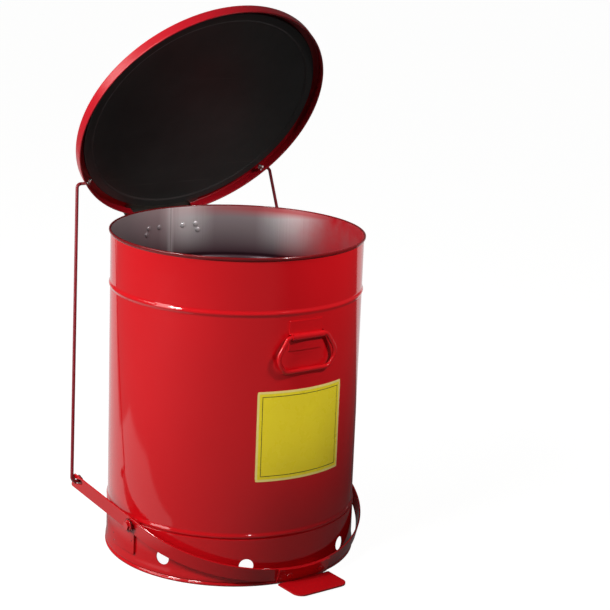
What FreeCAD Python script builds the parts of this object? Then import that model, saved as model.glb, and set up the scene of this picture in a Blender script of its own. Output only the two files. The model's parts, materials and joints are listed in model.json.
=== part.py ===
"""Foot-operated round waste can, built as separate sheet-metal, wire and fastener pieces.

Millimetres, +Z up. The origin is on the floor under the centre of the can, the pedal is towards -Y,
the lid hinge towards +Y, and the lid stands open with the pedal down.
"""
import FreeCAD, Part
import math
import os
import Sketcher

V = FreeCAD.Vector
X_DIR, Y_DIR, Z_DIR = V(1, 0, 0), V(0, 1, 0), V(0, 0, 1)

os.makedirs("parts", exist_ok=True)
doc = FreeCAD.newDocument("WasteCan")

# ---------------------------------------------------------------------------------------------
# Driving dimensions
# ---------------------------------------------------------------------------------------------

DRIVING = {
    # can
    "sheet": 1.0, "body_radius": 226.0, "rim_height": 588.0, "shell_foot": 56.0,
    "curl_height": 7.0, "curl_radius": 229.1,
    "bead_low": 92.0, "bead_high": 490.0, "bead_half": 5.0, "bead_proud": 2.2,
    "pan_height": 66.0, "pan_radius": 224.9, "pan_corner": 6.0,
    # skirt and foot
    "skirt_bore": 226.1, "skirt_radius": 227.6, "skirt_top": 84.0,
    "foot_radius": 230.0, "foot_height": 10.0, "flare_top": 25.0, "foot_roll": 2.0,
    "vent_radius": 12.8, "vent_height": 38.3, "vent_first": 26.5, "vent_step": 38.375,
    # hinge
    "hinge_y": 239.4, "hinge_z": 564.0, "hinge_half": 80.0, "pin_radius": 2.5, "pin_play": 0.06,
    "knuckle_radius": 4.1, "leaf": 1.5, "saddle_low": 532.0, "saddle_high": 558.0, "saddle_half": 66.0,
    # lid, measured with the lid shut
    "lid_angle": 56.4, "lid_radius": 245.4, "lid_edge": 576.0, "lid_top": 596.0, "lid_corner": 4.0,
    "lid_hem": 3.0, "lid_notch": 81.0, "lid_disc": 241.0, "panel_radius": 196.0, "panel_rise": 2.5,
    "liner_radius": 231.0, "liner_sheet": 1.2, "liner_ring": 14.0, "liner_low": 588.5, "liner_high": 593.4,
    "liner_step": 2.0,
    # lifting rods
    "rod_radius": 3.0, "rod_bend": 8.0, "hook_bend": 5.0, "hook_tip": 9.0, "hook_rise": 63.0,
    "hook_x": 194.5, "hook_y": 149.0, "hook_z": 585.0, "hook_hole": 3.6,
    "rod_top_x": 211.0, "rod_foot_x": 280.0, "hook_inner_x": 186.5, "foot_inner_x": 260.4,
    # foot lever
    "pivot_y": -39.0, "pivot_z": 86.0, "lever_tail_y": 96.0, "lever_tail_z": 131.0,
    "strap": 3.0, "strap_half": 13.6, "lever_half": 236.3, "splay": 14.0, "lever_reach": 209.0,
    "tail_over": 7.5, "tail_corner": 3.0, "slot_radius": 5.3,
    "bolt_radius": 4.0, "bolt_play": 0.08, "boss_radius": 9.0, "boss_face": 232.2, "boss_back": 222.0,
    "bracket": 2.0, "bracket_low": 26.0, "bracket_high": 82.0, "bracket_front": 81.0, "bracket_sweep": 27.0,
    "washer_face": 240.7, "washer": 1.5, "head_flats": 13.0, "head": 5.0,
    # pedal
    "pedal_half": 55.0, "pedal_front": 298.0, "pedal_back": 232.0, "pedal_under": 3.5,
    "pedal_corner": 18.0, "flange_drop": 2.5,
    "rivet_radius": 3.0, "rivet_head": 5.5, "rivet_rise": 1.8, "pedal_rivet_x": 32.0,
    # handle
    "bail_radius": 3.8, "bail_y": 231.2, "bail_z": 449.0, "bail_play": 0.3, "channel_radius": 5.7,
    "clip_half": 34.0, "handle_x": -8.0, "clip_low": 424.0, "clip_high": 476.0, "clip": 1.5,
    # small rivets and label
    "pop_radius": 2.0, "pop_head": 4.2, "pop_rise": 1.4,
    "label_low": 192.0, "label_high": 354.0, "label_half": 22.5, "label_turn": -1.4, "label_skin": 0.3,
    "fit_gap": 0.05,
}

sheet = doc.addObject("Spreadsheet::Sheet", "Sizes")
for row, (alias, number) in enumerate(DRIVING.items(), start=1):
    sheet.set(f"A{row}", alias)
    sheet.set(f"B{row}", str(number))
    sheet.setAlias(f"B{row}", alias)
doc.recompute()


class Size:
    """A number from the sheet together with the expression that gives it."""

    def __init__(self, number, text):
        self.number = float(number)
        self.text = text

    @staticmethod
    def of(other):
        if isinstance(other, Size):
            return other
        return Size(other, f"{float(other):.6f}")

    def __add__(self, other):
        other = Size.of(other)
        return Size(self.number + other.number, f"({self.text} + {other.text})")

    def __sub__(self, other):
        other = Size.of(other)
        return Size(self.number - other.number, f"({self.text} - {other.text})")

    def __mul__(self, other):
        other = Size.of(other)
        return Size(self.number * other.number, f"({self.text} * {other.text})")

    def __truediv__(self, other):
        other = Size.of(other)
        return Size(self.number / other.number, f"({self.text} / {other.text})")

    def __neg__(self):
        return Size(-self.number, f"(0 - {self.text})")


class Sheet:
    """Reads every driving dimension by its alias."""

    def __getattr__(self, alias):
        return Size(sheet.get(alias), f"Sizes.{alias}")


S = Sheet()


def root(size):
    return Size(math.sqrt(size.number), f"sqrt({size.text})")


def square(size):
    return size * size


# ---------------------------------------------------------------------------------------------
# Working tools
# ---------------------------------------------------------------------------------------------

parts = []


def bind(item, **sizes):
    """Set properties of an object, each bound to its expression in the sheet."""
    for name, size in sizes.items():
        size = Size.of(size)
        setattr(item, name, size.number)
        item.setExpression(name, size.text)
    return item


def finished(item, label):
    """Give a sub-part its label and put it on the list to write out."""
    item.Label = label
    parts.append(item)
    return item


def new_body(name):
    return doc.addObject("PartDesign::Body", name)


def plane_of(body, role):
    return next(f for f in body.Origin.OriginFeatures if f.Role == role)


def arc_between(start, end, radius, bulge):
    """The short arc of a radius; bulge +1 puts it on the left of the way from start to end."""
    middle = (start + end) * 0.5
    along = end - start
    half = along.Length / 2
    left = V(-along.y, along.x, 0).normalize()
    centre = middle - left * (bulge * math.sqrt(radius * radius - half * half))
    crown = centre + left * (bulge * radius)
    return Part.Arc(start, crown, end)


def draw(sketch, points):
    """A closed outline with every corner and radius bound to the sheet.

    Each point is (across, up), or (across, up, radius, bulge) where the edge that leaves it is an arc.
    """
    corners = [V(Size.of(p[0]).number, Size.of(p[1]).number, 0) for p in points]
    first = sketch.GeometryCount
    for index, point in enumerate(points):
        start = corners[index]
        end = corners[(index + 1) % len(points)]
        if len(point) == 2:
            sketch.addGeometry(Part.LineSegment(start, end), False)
        else:
            sketch.addGeometry(arc_between(start, end, Size.of(point[2]).number, point[3]), False)
    for index, point in enumerate(points):
        geo = first + index
        before = first + (index - 1) % len(points)
        # an arc that was drawn clockwise is kept anticlockwise, so its ends are found by place
        here = 1 if (sketch.getPoint(geo, 1) - corners[index]).Length < 1e-6 else 2
        there = 2 if (sketch.getPoint(before, 2) - corners[index]).Length < 1e-6 else 1
        sketch.addConstraint(Sketcher.Constraint("Coincident", before, there, geo, here))
        for kind, size in (("DistanceX", point[0]), ("DistanceY", point[1])):
            size = Size.of(size)
            number = sketch.addConstraint(Sketcher.Constraint(kind, -1, 1, geo, here, size.number))
            sketch.setExpression(f"Constraints[{number}]", size.text)
        if len(point) == 4:
            size = Size.of(point[2])
            number = sketch.addConstraint(Sketcher.Constraint("Radius", geo, size.number))
            sketch.setExpression(f"Constraints[{number}]", size.text)


def new_sketch(body, name, role="XZ_Plane"):
    item = body.newObject("Sketcher::SketchObject", name)
    item.AttachmentSupport = [(plane_of(body, role), "")]
    item.MapMode = "FlatFace"
    return item


def revolved(name, points):
    """A body of revolution about Z from a closed outline of (radius, height)."""
    body = new_body(name)
    outline = new_sketch(body, name + "_outline")
    draw(outline, points)
    turn = body.newObject("PartDesign::Revolution", name + "_turn")
    turn.Profile = outline
    turn.ReferenceAxis = (outline, ["V_Axis"])
    turn.Angle = 360
    doc.recompute()
    return body


def cylinder(name, radius, length, start, direction=Z_DIR):
    item = doc.addObject("Part::Cylinder", name)
    bind(item, Radius=radius, Height=length)
    item.Placement = FreeCAD.Placement(start, FreeCAD.Rotation(Z_DIR, direction))
    return item


def box(name, length, width, height, corner):
    item = doc.addObject("Part::Box", name)
    bind(item, Length=length, Width=width, Height=height)
    item.Placement = FreeCAD.Placement(corner, FreeCAD.Rotation())
    return item


def joined(name, pieces):
    item = doc.addObject("Part::MultiFuse", name)
    item.Shapes = pieces
    item.Refine = True
    return item


def grouped(name, pieces):
    """Identical small pieces that share one node, each still a solid of its own."""
    item = doc.addObject("Part::Compound", name)
    item.Links = pieces
    return item


def cut(name, base, tool):
    item = doc.addObject("Part::Cut", name)
    item.Base = base
    item.Tool = tool
    item.Refine = True
    return item


def solid(name, shape):
    item = doc.addObject("Part::Feature", name)
    item.Shape = shape
    return item


def bent_wire(points, radii, closed=False):
    """Straight runs joined by tangent arcs, one radius for each point that is turned at."""
    count = len(points)
    turned = range(count) if closed else range(1, count - 1)
    entries, exits, arcs = {}, {}, {}
    for i in turned:
        here, before, after = points[i], points[i - 1], points[(i + 1) % count]
        to_before = (before - here).normalize()
        to_after = (after - here).normalize()
        opening = to_before.getAngle(to_after)
        reach = radii[i] / math.tan(opening / 2)
        entries[i] = here + to_before * reach
        exits[i] = here + to_after * reach
        inward = (to_before + to_after).normalize()
        crown = here + inward * (radii[i] / math.sin(opening / 2) - radii[i])
        arcs[i] = Part.Arc(entries[i], crown, exits[i]).toShape()
    edges = []
    for i in range(count if closed else count - 1):
        following = (i + 1) % count
        start = exits.get(i, points[i])
        end = entries.get(following, points[following])
        edges.append(Part.LineSegment(start, end).toShape())
        if following in arcs:
            edges.append(arcs[following])
    return Part.Wire(edges)


def round_bar(wire, radius):
    """A bar of round section along a wire."""
    first = wire.Edges[0]
    start = first.valueAt(first.FirstParameter)
    along = first.tangentAt(first.FirstParameter)
    section = Part.Wire(Part.makeCircle(radius, start, along))
    return wire.makePipeShell([section], True, False)


def sheet_arc(name, inner, outer, low, high, half_angle, facing):
    """A strip of a tube wall, from low to high, reaching half_angle each side of a facing angle."""
    strip = doc.addObject("Part::Cylinder", name + "_outer")
    bind(strip, Radius=outer, Height=high - low, Angle=half_angle * 2)
    core = doc.addObject("Part::Cylinder", name + "_bore")
    bind(core, Radius=inner, Height=high - low)
    spin = FreeCAD.Rotation(Z_DIR, facing - Size.of(half_angle).number)
    strip.Placement = FreeCAD.Placement(V(0, 0, Size.of(low).number), spin)
    core.Placement = FreeCAD.Placement(V(0, 0, Size.of(low).number), spin)
    return cut(name, strip, core)


FRONT, REAR = -90.0, 90.0
SIDES = (("left", -1), ("right", 1))

# ---------------------------------------------------------------------------------------------
# Lid hinge and linkage geometry, in the plane across the hinge
# ---------------------------------------------------------------------------------------------

HINGE = V(0, S.hinge_y.number, S.hinge_z.number)
OPENED = FreeCAD.Rotation(X_DIR, -S.lid_angle.number)


def lid_open(point):
    """Where a point of the shut lid lies with the lid open."""
    return HINGE + OPENED.multVec(point - HINGE)


def open_placement():
    """The placement that swings a piece of the shut lid open about the hinge pin."""
    return FreeCAD.Placement(V(0, 0, 0), OPENED, HINGE)


HOOK = lid_open(V(0, S.hook_y.number, S.hook_z.number))
PIVOT = V(0, S.pivot_y.number, S.pivot_z.number)
TAIL = V(0, S.lever_tail_y.number, S.lever_tail_z.number)
ARM = TAIL - PIVOT
LEVER_TILT = math.degrees(math.atan2(ARM.z, ARM.y))
LEVER_TURN = FreeCAD.Rotation(X_DIR, LEVER_TILT)


def lever_placement():
    """The lever's own frame: pivot line at the origin, front towards -Y, laid over to the pressed angle."""
    return FreeCAD.Placement(PIVOT, LEVER_TURN)


# ---------------------------------------------------------------------------------------------
# Can
# ---------------------------------------------------------------------------------------------


def bead(at):
    """Outer and inner edges of a rolled bead: corner heights, arc radii and the wall they leave."""
    outer = (square(S.bead_half) + square(S.bead_proud)) / (S.bead_proud * 2)
    inner = outer - S.sheet
    centre = S.body_radius + S.bead_proud - outer
    inner_half = root(square(inner) - square(S.body_radius - S.sheet - centre))
    return outer, inner, at - S.bead_half, at + S.bead_half, at - inner_half, at + inner_half


def can_shell():
    out, inn = S.body_radius, S.body_radius - S.sheet
    curl_low = S.rim_height - S.curl_height
    roll = (S.curl_radius - inn) / 2
    low_out, low_in, lo_a, lo_b, lo_c, lo_d = bead(S.bead_low)
    top_out, top_in, hi_a, hi_b, hi_c, hi_d = bead(S.bead_high)
    body = revolved("can_wall", [
        (out, S.shell_foot),
        (out, lo_a, low_out, -1), (out, lo_b),
        (out, hi_a, top_out, -1), (out, hi_b),
        (out, curl_low),
        (inn + roll, curl_low, roll, -1), (S.curl_radius, curl_low + roll),
        (S.curl_radius, S.rim_height - roll, roll, -1), (inn + roll, S.rim_height, roll, -1),
        (inn, S.rim_height - roll),
        (inn, hi_d, top_in, 1), (inn, hi_c),
        (inn, lo_d, low_in, 1), (inn, lo_c),
        (inn, S.shell_foot),
    ])
    holes = [radial_shank(f"shell_hole_{i}", x, z) for i, (x, z) in enumerate(hinge_rivet_places())]
    finished(cut("can_shell_drilled", body, joined("shell_holes", holes)), "can_shell")


def bottom_pan():
    top, wall, corner = S.pan_height, S.pan_radius, S.pan_corner
    inner_corner = corner - S.sheet
    finished(revolved("pan", [
        (0, top), (0, top - S.sheet),
        (wall - corner, top - S.sheet, inner_corner, 1), (wall - S.sheet, top - corner),
        (wall - S.sheet, S.shell_foot), (wall, S.shell_foot),
        (wall, top - corner, corner, -1), (wall - corner, top),
    ]), "bottom_pan")


def vent_angles():
    """Where the vents are, in degrees from the front; the pivot brackets take the two places at the sides."""
    first, step = S.vent_first.number, S.vent_step.number
    return (-first - step, -first, first, first + step, 180 - step, 180.0, 180 + step)


def base_skirt():
    flare = S.foot_radius - S.skirt_radius
    rise = S.flare_top - S.foot_height
    outer = (square(flare) + square(rise)) / (flare * 4)
    gauge = S.skirt_radius - S.skirt_bore
    half_r = S.skirt_radius + flare / 2
    half_z = S.foot_height + rise / 2
    body = revolved("skirt_wall", [
        (S.skirt_bore, S.skirt_top), (S.skirt_bore, 0),
        (S.foot_radius - S.foot_roll, 0, S.foot_roll, -1), (S.foot_radius, S.foot_roll),
        (S.foot_radius, S.foot_height, outer, -1), (half_r, half_z, outer, 1),
        (S.skirt_radius, S.flare_top), (S.skirt_radius, S.skirt_top),
    ])
    # the flare is sheet all through, so it is hollow behind, above the rolled foot
    hollow = new_sketch(body, "foot_hollow")
    hollow_low, hollow_high = S.foot_height / 2, S.flare_top - S.foot_roll
    draw(hollow, [
        (S.skirt_bore - 1, hollow_low), (S.foot_radius - gauge, hollow_low),
        (S.foot_radius - gauge, S.foot_height), (S.skirt_bore, hollow_high),
        (S.skirt_bore - 1, hollow_high),
    ])
    groove = body.newObject("PartDesign::Groove", "foot_groove")
    groove.Profile = hollow
    groove.ReferenceAxis = (hollow, ["V_Axis"])
    groove.Angle = 360
    depth = 20.0
    start = S.skirt_radius - depth / 2
    vents = []
    for i, angle in enumerate(vent_angles()):
        way = V(math.sin(math.radians(angle)), -math.cos(math.radians(angle)), 0)
        at = way * start.number + V(0, 0, S.vent_height.number)
        vents.append(cylinder(f"vent_{i}", S.vent_radius, depth, at, way))
    finished(cut("skirt_vented", body, joined("vents", vents)), "base_skirt")


def label_panel():
    inner = S.body_radius + S.fit_gap
    finished(sheet_arc("label_strip", inner, inner + S.label_skin, S.label_low, S.label_high,
                       S.label_half, FRONT + S.label_turn.number), "label_panel")


# ---------------------------------------------------------------------------------------------
# Lid hinge
# ---------------------------------------------------------------------------------------------

# knuckles along the pin: the outer and middle ones are the bracket's, the two between are the lid's
KNUCKLE_INNER, KNUCKLE_OUTER, KNUCKLE_GAP = 14.0, 44.0, 0.5
BRACKET_KNUCKLES = (
    (-S.hinge_half.number, -KNUCKLE_OUTER),
    (-KNUCKLE_INNER, KNUCKLE_INNER),
    (KNUCKLE_OUTER, S.hinge_half.number),
)
LID_KNUCKLES = (
    (-KNUCKLE_OUTER + KNUCKLE_GAP, -KNUCKLE_INNER - KNUCKLE_GAP),
    (KNUCKLE_INNER + KNUCKLE_GAP, KNUCKLE_OUTER - KNUCKLE_GAP),
)

# rivets of the saddle on each side of the can's seam, as (distance from the seam, height)
SADDLE_RIVETS = ((26.0, 551.0), (52.0, 552.0), (57.0, 540.5))
LID_RIVETS_X = (-52.0, -18.0, 18.0, 52.0)
LID_RIVETS_Y = 214.0


def hinge_rivet_places():
    """Every rivet of the saddle, as (x, height)."""
    return [(side * x, z) for _, side in SIDES for x, z in SADDLE_RIVETS]


def radial_shank(name, x, z, start=-3.0, length=8.0, radius=S.pop_radius):
    """A pin through the can wall at its rear, square to the wall."""
    around = math.sqrt(S.body_radius.number**2 - x * x)
    outward = V(x, around, 0).normalize()
    return cylinder(name, radius, length, V(x, around, z) + outward * start, outward)


def knuckles(name, stations, bore):
    """Rolled barrels round the pin, each with its bore."""
    barrels = []
    for i, (low, high) in enumerate(stations):
        start = HINGE + V(low, 0, 0)
        tube = cylinder(f"{name}_tube_{i}", S.knuckle_radius, high - low, start, X_DIR)
        barrels.append((tube, cylinder(f"{name}_bore_{i}", bore, high - low, start, X_DIR)))
    return barrels


def hinge_bracket():
    """A saddle on the can, a shelf that carries it back to the pin, and the fixed knuckles."""
    half = math.degrees(math.asin(S.saddle_half.number / S.body_radius.number))
    saddle = sheet_arc("hinge_saddle", S.body_radius + S.fit_gap, S.body_radius + S.leaf, S.saddle_low,
                       S.saddle_high, half, REAR)
    wall = HINGE.y + S.knuckle_radius.number - S.leaf.number
    shelf_top = S.saddle_high.number
    shelf_back, lap = 60.0, 1.0
    shelf = box("hinge_shelf_plate", S.hinge_half * 2, shelf_back, S.leaf,
                V(-S.hinge_half.number, wall + S.leaf.number - shelf_back, shelf_top - S.leaf.number))
    can_space = cylinder("hinge_can_space", S.body_radius + S.leaf / 2, S.rim_height, V(0, 0, 0))
    shelf_trimmed = cut("hinge_shelf", shelf, can_space)
    pieces = [saddle, shelf_trimmed]
    barrels = knuckles("bracket", BRACKET_KNUCKLES, S.pin_radius)
    for i, (low, high) in enumerate(BRACKET_KNUCKLES):
        pieces.append(box(f"bracket_riser_{i}", high - low, S.leaf, HINGE.z - shelf_top + lap,
                          V(low, wall, shelf_top - lap)))
        pieces.append(barrels[i][0])
    whole = joined("hinge_bracket_whole", pieces)
    tools = [bore for _, bore in barrels]
    tools += [radial_shank(f"bracket_hole_{i}", x, z) for i, (x, z) in enumerate(hinge_rivet_places())]
    finished(cut("hinge_bracket_drilled", whole, joined("bracket_holes", tools)), "hinge_bracket")


def hinge_rivets():
    """Domed-head rivets: a shank through wall and saddle, a head inside and a head outside."""
    inside = -(S.sheet.number + S.fit_gap.number) - S.pop_rise.number
    outside = S.leaf.number + S.fit_gap.number
    rivets = []
    for i, (x, z) in enumerate(hinge_rivet_places()):
        rise = S.pop_rise.number
        shank = radial_shank(f"rivet_shank_{i}", x, z, inside + rise / 2, outside - inside)
        inner = radial_shank(f"rivet_inner_{i}", x, z, inside, rise, S.pop_head)
        outer = radial_shank(f"rivet_outer_{i}", x, z, outside, rise, S.pop_head)
        rivets.append(joined(f"hinge_rivet_{i}", [shank, inner, outer]))
    finished(grouped("hinge_rivet_set", rivets), "hinge_rivets")


def hinge_pin():
    """The pin, with a head clear of the knuckles at each end."""
    head, clear = 3.0, 1.0
    inner = S.hinge_half.number + clear
    reach = inner + head
    shank = cylinder("pin_shank", S.pin_radius, 2 * reach, HINGE - V(reach, 0, 0), X_DIR)
    heads = [
        cylinder("pin_head_left", S.knuckle_radius, head, HINGE - V(reach, 0, 0), X_DIR),
        cylinder("pin_head_right", S.knuckle_radius, head, HINGE + V(inner, 0, 0), X_DIR),
    ]
    finished(joined("hinge_pin_whole", [shank] + heads), "hinge_pin")


# ---------------------------------------------------------------------------------------------
# Lid, drawn shut and swung open about the pin
# ---------------------------------------------------------------------------------------------


def lid_shell():
    """A flat-topped pan with a hemmed edge, notched for the hinge, with a hole each side for a rod."""
    out, inn = S.lid_radius, S.lid_radius - S.sheet
    top, under = S.lid_top, S.lid_top - S.sheet
    corner, inner_corner = S.lid_corner, S.lid_corner - S.sheet
    roll = S.lid_hem / 2
    rise = S.panel_rise
    body = revolved("lid_wall", [
        (0, top + rise), (0, under + rise),
        (S.panel_radius, under + rise), (S.panel_radius + rise * 2, under),
        (out - corner, under, inner_corner, 1), (inn, top - corner),
        (inn, S.lid_edge + S.lid_hem),
        (out - roll * 2, S.lid_edge + roll, roll, -1),
        (out - roll, S.lid_edge, roll, -1), (out, S.lid_edge + roll),
        (out, top - corner, corner, -1), (out - corner, top),
        (S.panel_radius + rise * 2, top), (S.panel_radius, top + rise),
    ])
    low, depth = S.lid_edge.number - 10, 40.0
    notch = box("lid_notch_block", S.lid_notch * 2, S.lid_radius, depth, V(-S.lid_notch.number, 0, low))
    kept = cylinder("lid_notch_kept", S.lid_disc, depth, V(0, 0, low))
    tools = [cut("lid_notch_tool", notch, kept)]
    hole_half = 12.0
    for name, side in SIDES:
        hole_at = V(side * S.hook_x.number - hole_half, S.hook_y.number, S.hook_z.number)
        tools.append(cylinder(f"lid_hook_hole_{name}", S.hook_hole, 2 * hole_half, hole_at, X_DIR))
    tools += lid_rivet_holes("lid")
    shell = cut("lid_shell_cut", body, joined("lid_tools", tools))
    shell.Placement = open_placement()
    finished(shell, "lid_shell")


def lid_liner():
    """The dished inner pan, open towards the lid, with a raised ring near its edge."""
    out, gauge = S.liner_radius, S.liner_sheet
    ring = out - S.liner_ring
    low, step = S.liner_low, S.liner_step
    liner = revolved("liner_pan", [
        (0, low + step), (ring - step, low + step), (ring, low), (out, low),
        (out, S.liner_high), (out - gauge, S.liner_high), (out - gauge, low + gauge),
        (ring + gauge / 2, low + gauge), (ring - step + gauge / 2, low + step + gauge),
        (0, low + step + gauge),
    ])
    liner.Placement = open_placement()
    finished(liner, "lid_liner")


def lid_rivet_holes(name):
    start, length = S.lid_top.number - 8, 12.0
    return [cylinder(f"{name}_rivet_hole_{i}", S.pop_radius, length, V(x, LID_RIVETS_Y, start))
            for i, x in enumerate(LID_RIVETS_X)]


def lid_hinge_leaf():
    """A leaf flat under the lid, turned down outside the can, with the moving knuckles."""
    wall = HINGE.y + S.knuckle_radius.number - S.leaf.number
    under = S.lid_top.number - S.sheet.number - S.fit_gap.number
    back, lap = 205.0, 1.0
    bottom = HINGE.z + 5.0
    width = S.hinge_half.number * 2
    flat = box("leaf_flat", width, wall + S.leaf.number - back, S.leaf,
               V(-width / 2, back, under - S.leaf.number))
    upright = box("leaf_upright", width, S.leaf, under - bottom, V(-width / 2, wall, bottom))
    pieces = [flat, upright]
    barrels = knuckles("lid", LID_KNUCKLES, S.pin_radius + S.pin_play)
    for i, (low, high) in enumerate(LID_KNUCKLES):
        drop = bottom - HINGE.z + lap
        pieces.append(box(f"leaf_drop_{i}", high - low, S.leaf, drop, V(low, wall, HINGE.z)))
        pieces.append(barrels[i][0])
    whole = joined("leaf_whole", pieces)
    tools = [bore for _, bore in barrels] + lid_rivet_holes("leaf")
    leaf = cut("leaf_drilled", whole, joined("leaf_tools", tools))
    leaf.Placement = open_placement()
    finished(leaf, "lid_hinge_leaf")


def lid_rivets():
    """Flat-headed rivets through the lid and its hinge leaf."""
    top = S.lid_top.number + S.fit_gap.number
    under = S.lid_top.number - S.sheet.number - S.leaf.number - 2 * S.fit_gap.number
    low_head = 1.0
    y = LID_RIVETS_Y
    rivets = []
    for i, x in enumerate(LID_RIVETS_X):
        shank = cylinder(f"lid_rivet_shank_{i}", S.pop_radius, top - under, V(x, y, under))
        upper = cylinder(f"lid_rivet_top_{i}", S.pop_head, S.pop_rise, V(x, y, top))
        lower = cylinder(f"lid_rivet_low_{i}", S.pop_head, low_head, V(x, y, under - low_head))
        rivets.append(joined(f"lid_rivet_{i}", [shank, upper, lower]))
    group = grouped("lid_rivet_set", rivets)
    group.Placement = open_placement()
    finished(group, "lid_rivets")


# ---------------------------------------------------------------------------------------------
# Lifting rods
# ---------------------------------------------------------------------------------------------


def lift_rod(name, side):
    """One bent bar: hook end through the lid flange, long leaning shaft, foot through the lever's tail."""
    rise = math.radians(S.hook_rise.number)
    tip_way = V(0, -math.cos(rise), math.sin(rise))
    inner = HOOK + V(side * S.hook_inner_x.number, 0, 0)
    points = [
        inner + tip_way * S.hook_tip.number,
        inner,
        HOOK + V(side * S.rod_top_x.number, 0, 0),
        TAIL + V(side * S.rod_foot_x.number, 0, 0),
        TAIL + V(side * S.foot_inner_x.number, 0, 0),
    ]
    radii = [0, S.hook_bend.number, S.rod_bend.number, S.rod_bend.number, 0]
    bar = solid(f"rod_{name}", round_bar(bent_wire(points, radii), S.rod_radius.number))
    finished(bar, f"lift_rod_{name}")


def ring(name, outer, bore, length, start):
    disc = cylinder(name + "_disc", outer, length, start, X_DIR)
    hole = cylinder(name + "_hole", bore, length, start, X_DIR)
    return cut(name, disc, hole)


def rod_fasteners(name, side):
    """A flat washer and a push-on cap that keep the rod's foot in the lever."""
    cap_length, cap_radius, washer_radius, proud = 4.0, 6.0, 8.0, 1.0
    inner = S.foot_inner_x.number - proud
    start = inner if side > 0 else -inner - cap_length
    cap = ring(f"rod_cap_ring_{name}", cap_radius, S.rod_radius, cap_length, TAIL + V(start, 0, 0))
    finished(cap, f"rod_cap_{name}")
    washer_at = inner + cap_length + S.fit_gap.number
    start = washer_at if side > 0 else -washer_at - S.sheet.number
    washer = ring(f"rod_washer_ring_{name}", washer_radius, S.rod_radius, S.sheet, TAIL + V(start, 0, 0))
    finished(washer, f"rod_washer_{name}")


# ---------------------------------------------------------------------------------------------
# Foot lever
# ---------------------------------------------------------------------------------------------


def bow_centre():
    """Distance behind the pivot line of the bow's centre, and the bow's middle radius."""
    slope = math.tan(math.radians(S.splay.number))
    stretch = math.hypot(1, slope)
    reach, half = S.lever_reach.number, S.lever_half.number
    back = (stretch * reach - half) / (stretch - slope)
    return back, reach - back


# the rod's foot crosses the tail slot between these two places, as (along, up) from the end of the arm;
# it is at the second of its turns half way through the travel
SLOT_ENDS = ((-0.9, 1.2), (-12.3, 5.9))


def mirrored(point):
    return V(-point.x, point.y, point.z)


def rivet_way(side, outer, back):
    """A cylinder along Y through strap and pedal flange, where a rivet goes."""
    reach = 10.0
    start = V(side * S.pedal_rivet_x.number, -back - outer - reach, 0)
    return Part.makeCylinder(S.rivet_radius.number, 3 * reach, start, Y_DIR)


def yoke_strap():
    """A flat bar on edge, bent into a bow round the front of the can with straight splayed arms."""
    back, middle = bow_centre()
    splay = S.splay.number
    slope = math.tan(math.radians(splay))
    arm = ARM.Length + S.tail_over.number
    outer, inner = middle + S.strap.number / 2, middle - S.strap.number / 2
    ends = []
    for radius in (outer, inner):
        touch = V(radius * math.cos(math.radians(splay)), -back - radius * math.sin(math.radians(splay)), 0)
        tail = V(touch.x + (arm - touch.y) * slope, arm, 0)
        ends.append((touch, tail))
    (out_touch, out_tail), (in_touch, in_tail) = ends
    edges = [
        Part.LineSegment(out_tail, out_touch).toShape(),
        Part.Arc(out_touch, V(0, -back - outer, 0), mirrored(out_touch)).toShape(),
        Part.LineSegment(mirrored(out_touch), mirrored(out_tail)).toShape(),
        Part.LineSegment(mirrored(out_tail), mirrored(in_tail)).toShape(),
        Part.LineSegment(mirrored(in_tail), mirrored(in_touch)).toShape(),
        Part.Arc(mirrored(in_touch), V(0, -back - inner, 0), in_touch).toShape(),
        Part.LineSegment(in_touch, in_tail).toShape(),
        Part.LineSegment(in_tail, out_tail).toShape(),
    ]
    height = S.strap_half.number
    face = Part.Face(Part.Wire(edges))
    face.translate(V(0, 0, -height))
    bar = face.extrude(V(0, 0, 2 * height))
    wide = 2 * (ends[0][1].x + S.strap.number)
    for z in (-height, height):
        corner = V(-wide / 2, arm, z)
        size = S.tail_corner.number
        wedge = Part.Face(Part.makePolygon([
            corner, corner - V(0, size, 0), corner - V(0, 0, math.copysign(size, z)), corner]))
        bar = bar.cut(wedge.extrude(V(wide, 0, 0)))
    bore = S.bolt_radius.number + S.bolt_play.number
    bar = bar.cut(Part.makeCylinder(bore, wide, V(-wide / 2, 0, 0), X_DIR))
    slot_start, slot_end = [V(0, ARM.Length + along, up) for along, up in SLOT_ENDS]
    bar = bar.cut(slot(slot_start, slot_end, S.slot_radius.number, wide))
    for _, side in SIDES:
        bar = bar.cut(rivet_way(side, outer, back))
    strap = solid("yoke_bar", bar)
    strap.Placement = lever_placement()
    finished(strap, "yoke_strap")


def slot(start, end, radius, wide):
    """A round-ended slot tool along X."""
    across = (end - start).normalize()
    side = V(0, -across.z, across.y) * radius
    outline = Part.Wire([
        Part.LineSegment(start + side, end + side).toShape(),
        Part.Arc(end + side, end + across * radius, end - side).toShape(),
        Part.LineSegment(end - side, start - side).toShape(),
        Part.Arc(start - side, start - across * radius, start + side).toShape(),
    ])
    tool = Part.Face(outline).extrude(V(wide, 0, 0))
    tool.translate(V(-wide / 2, 0, 0))
    return tool


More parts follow.
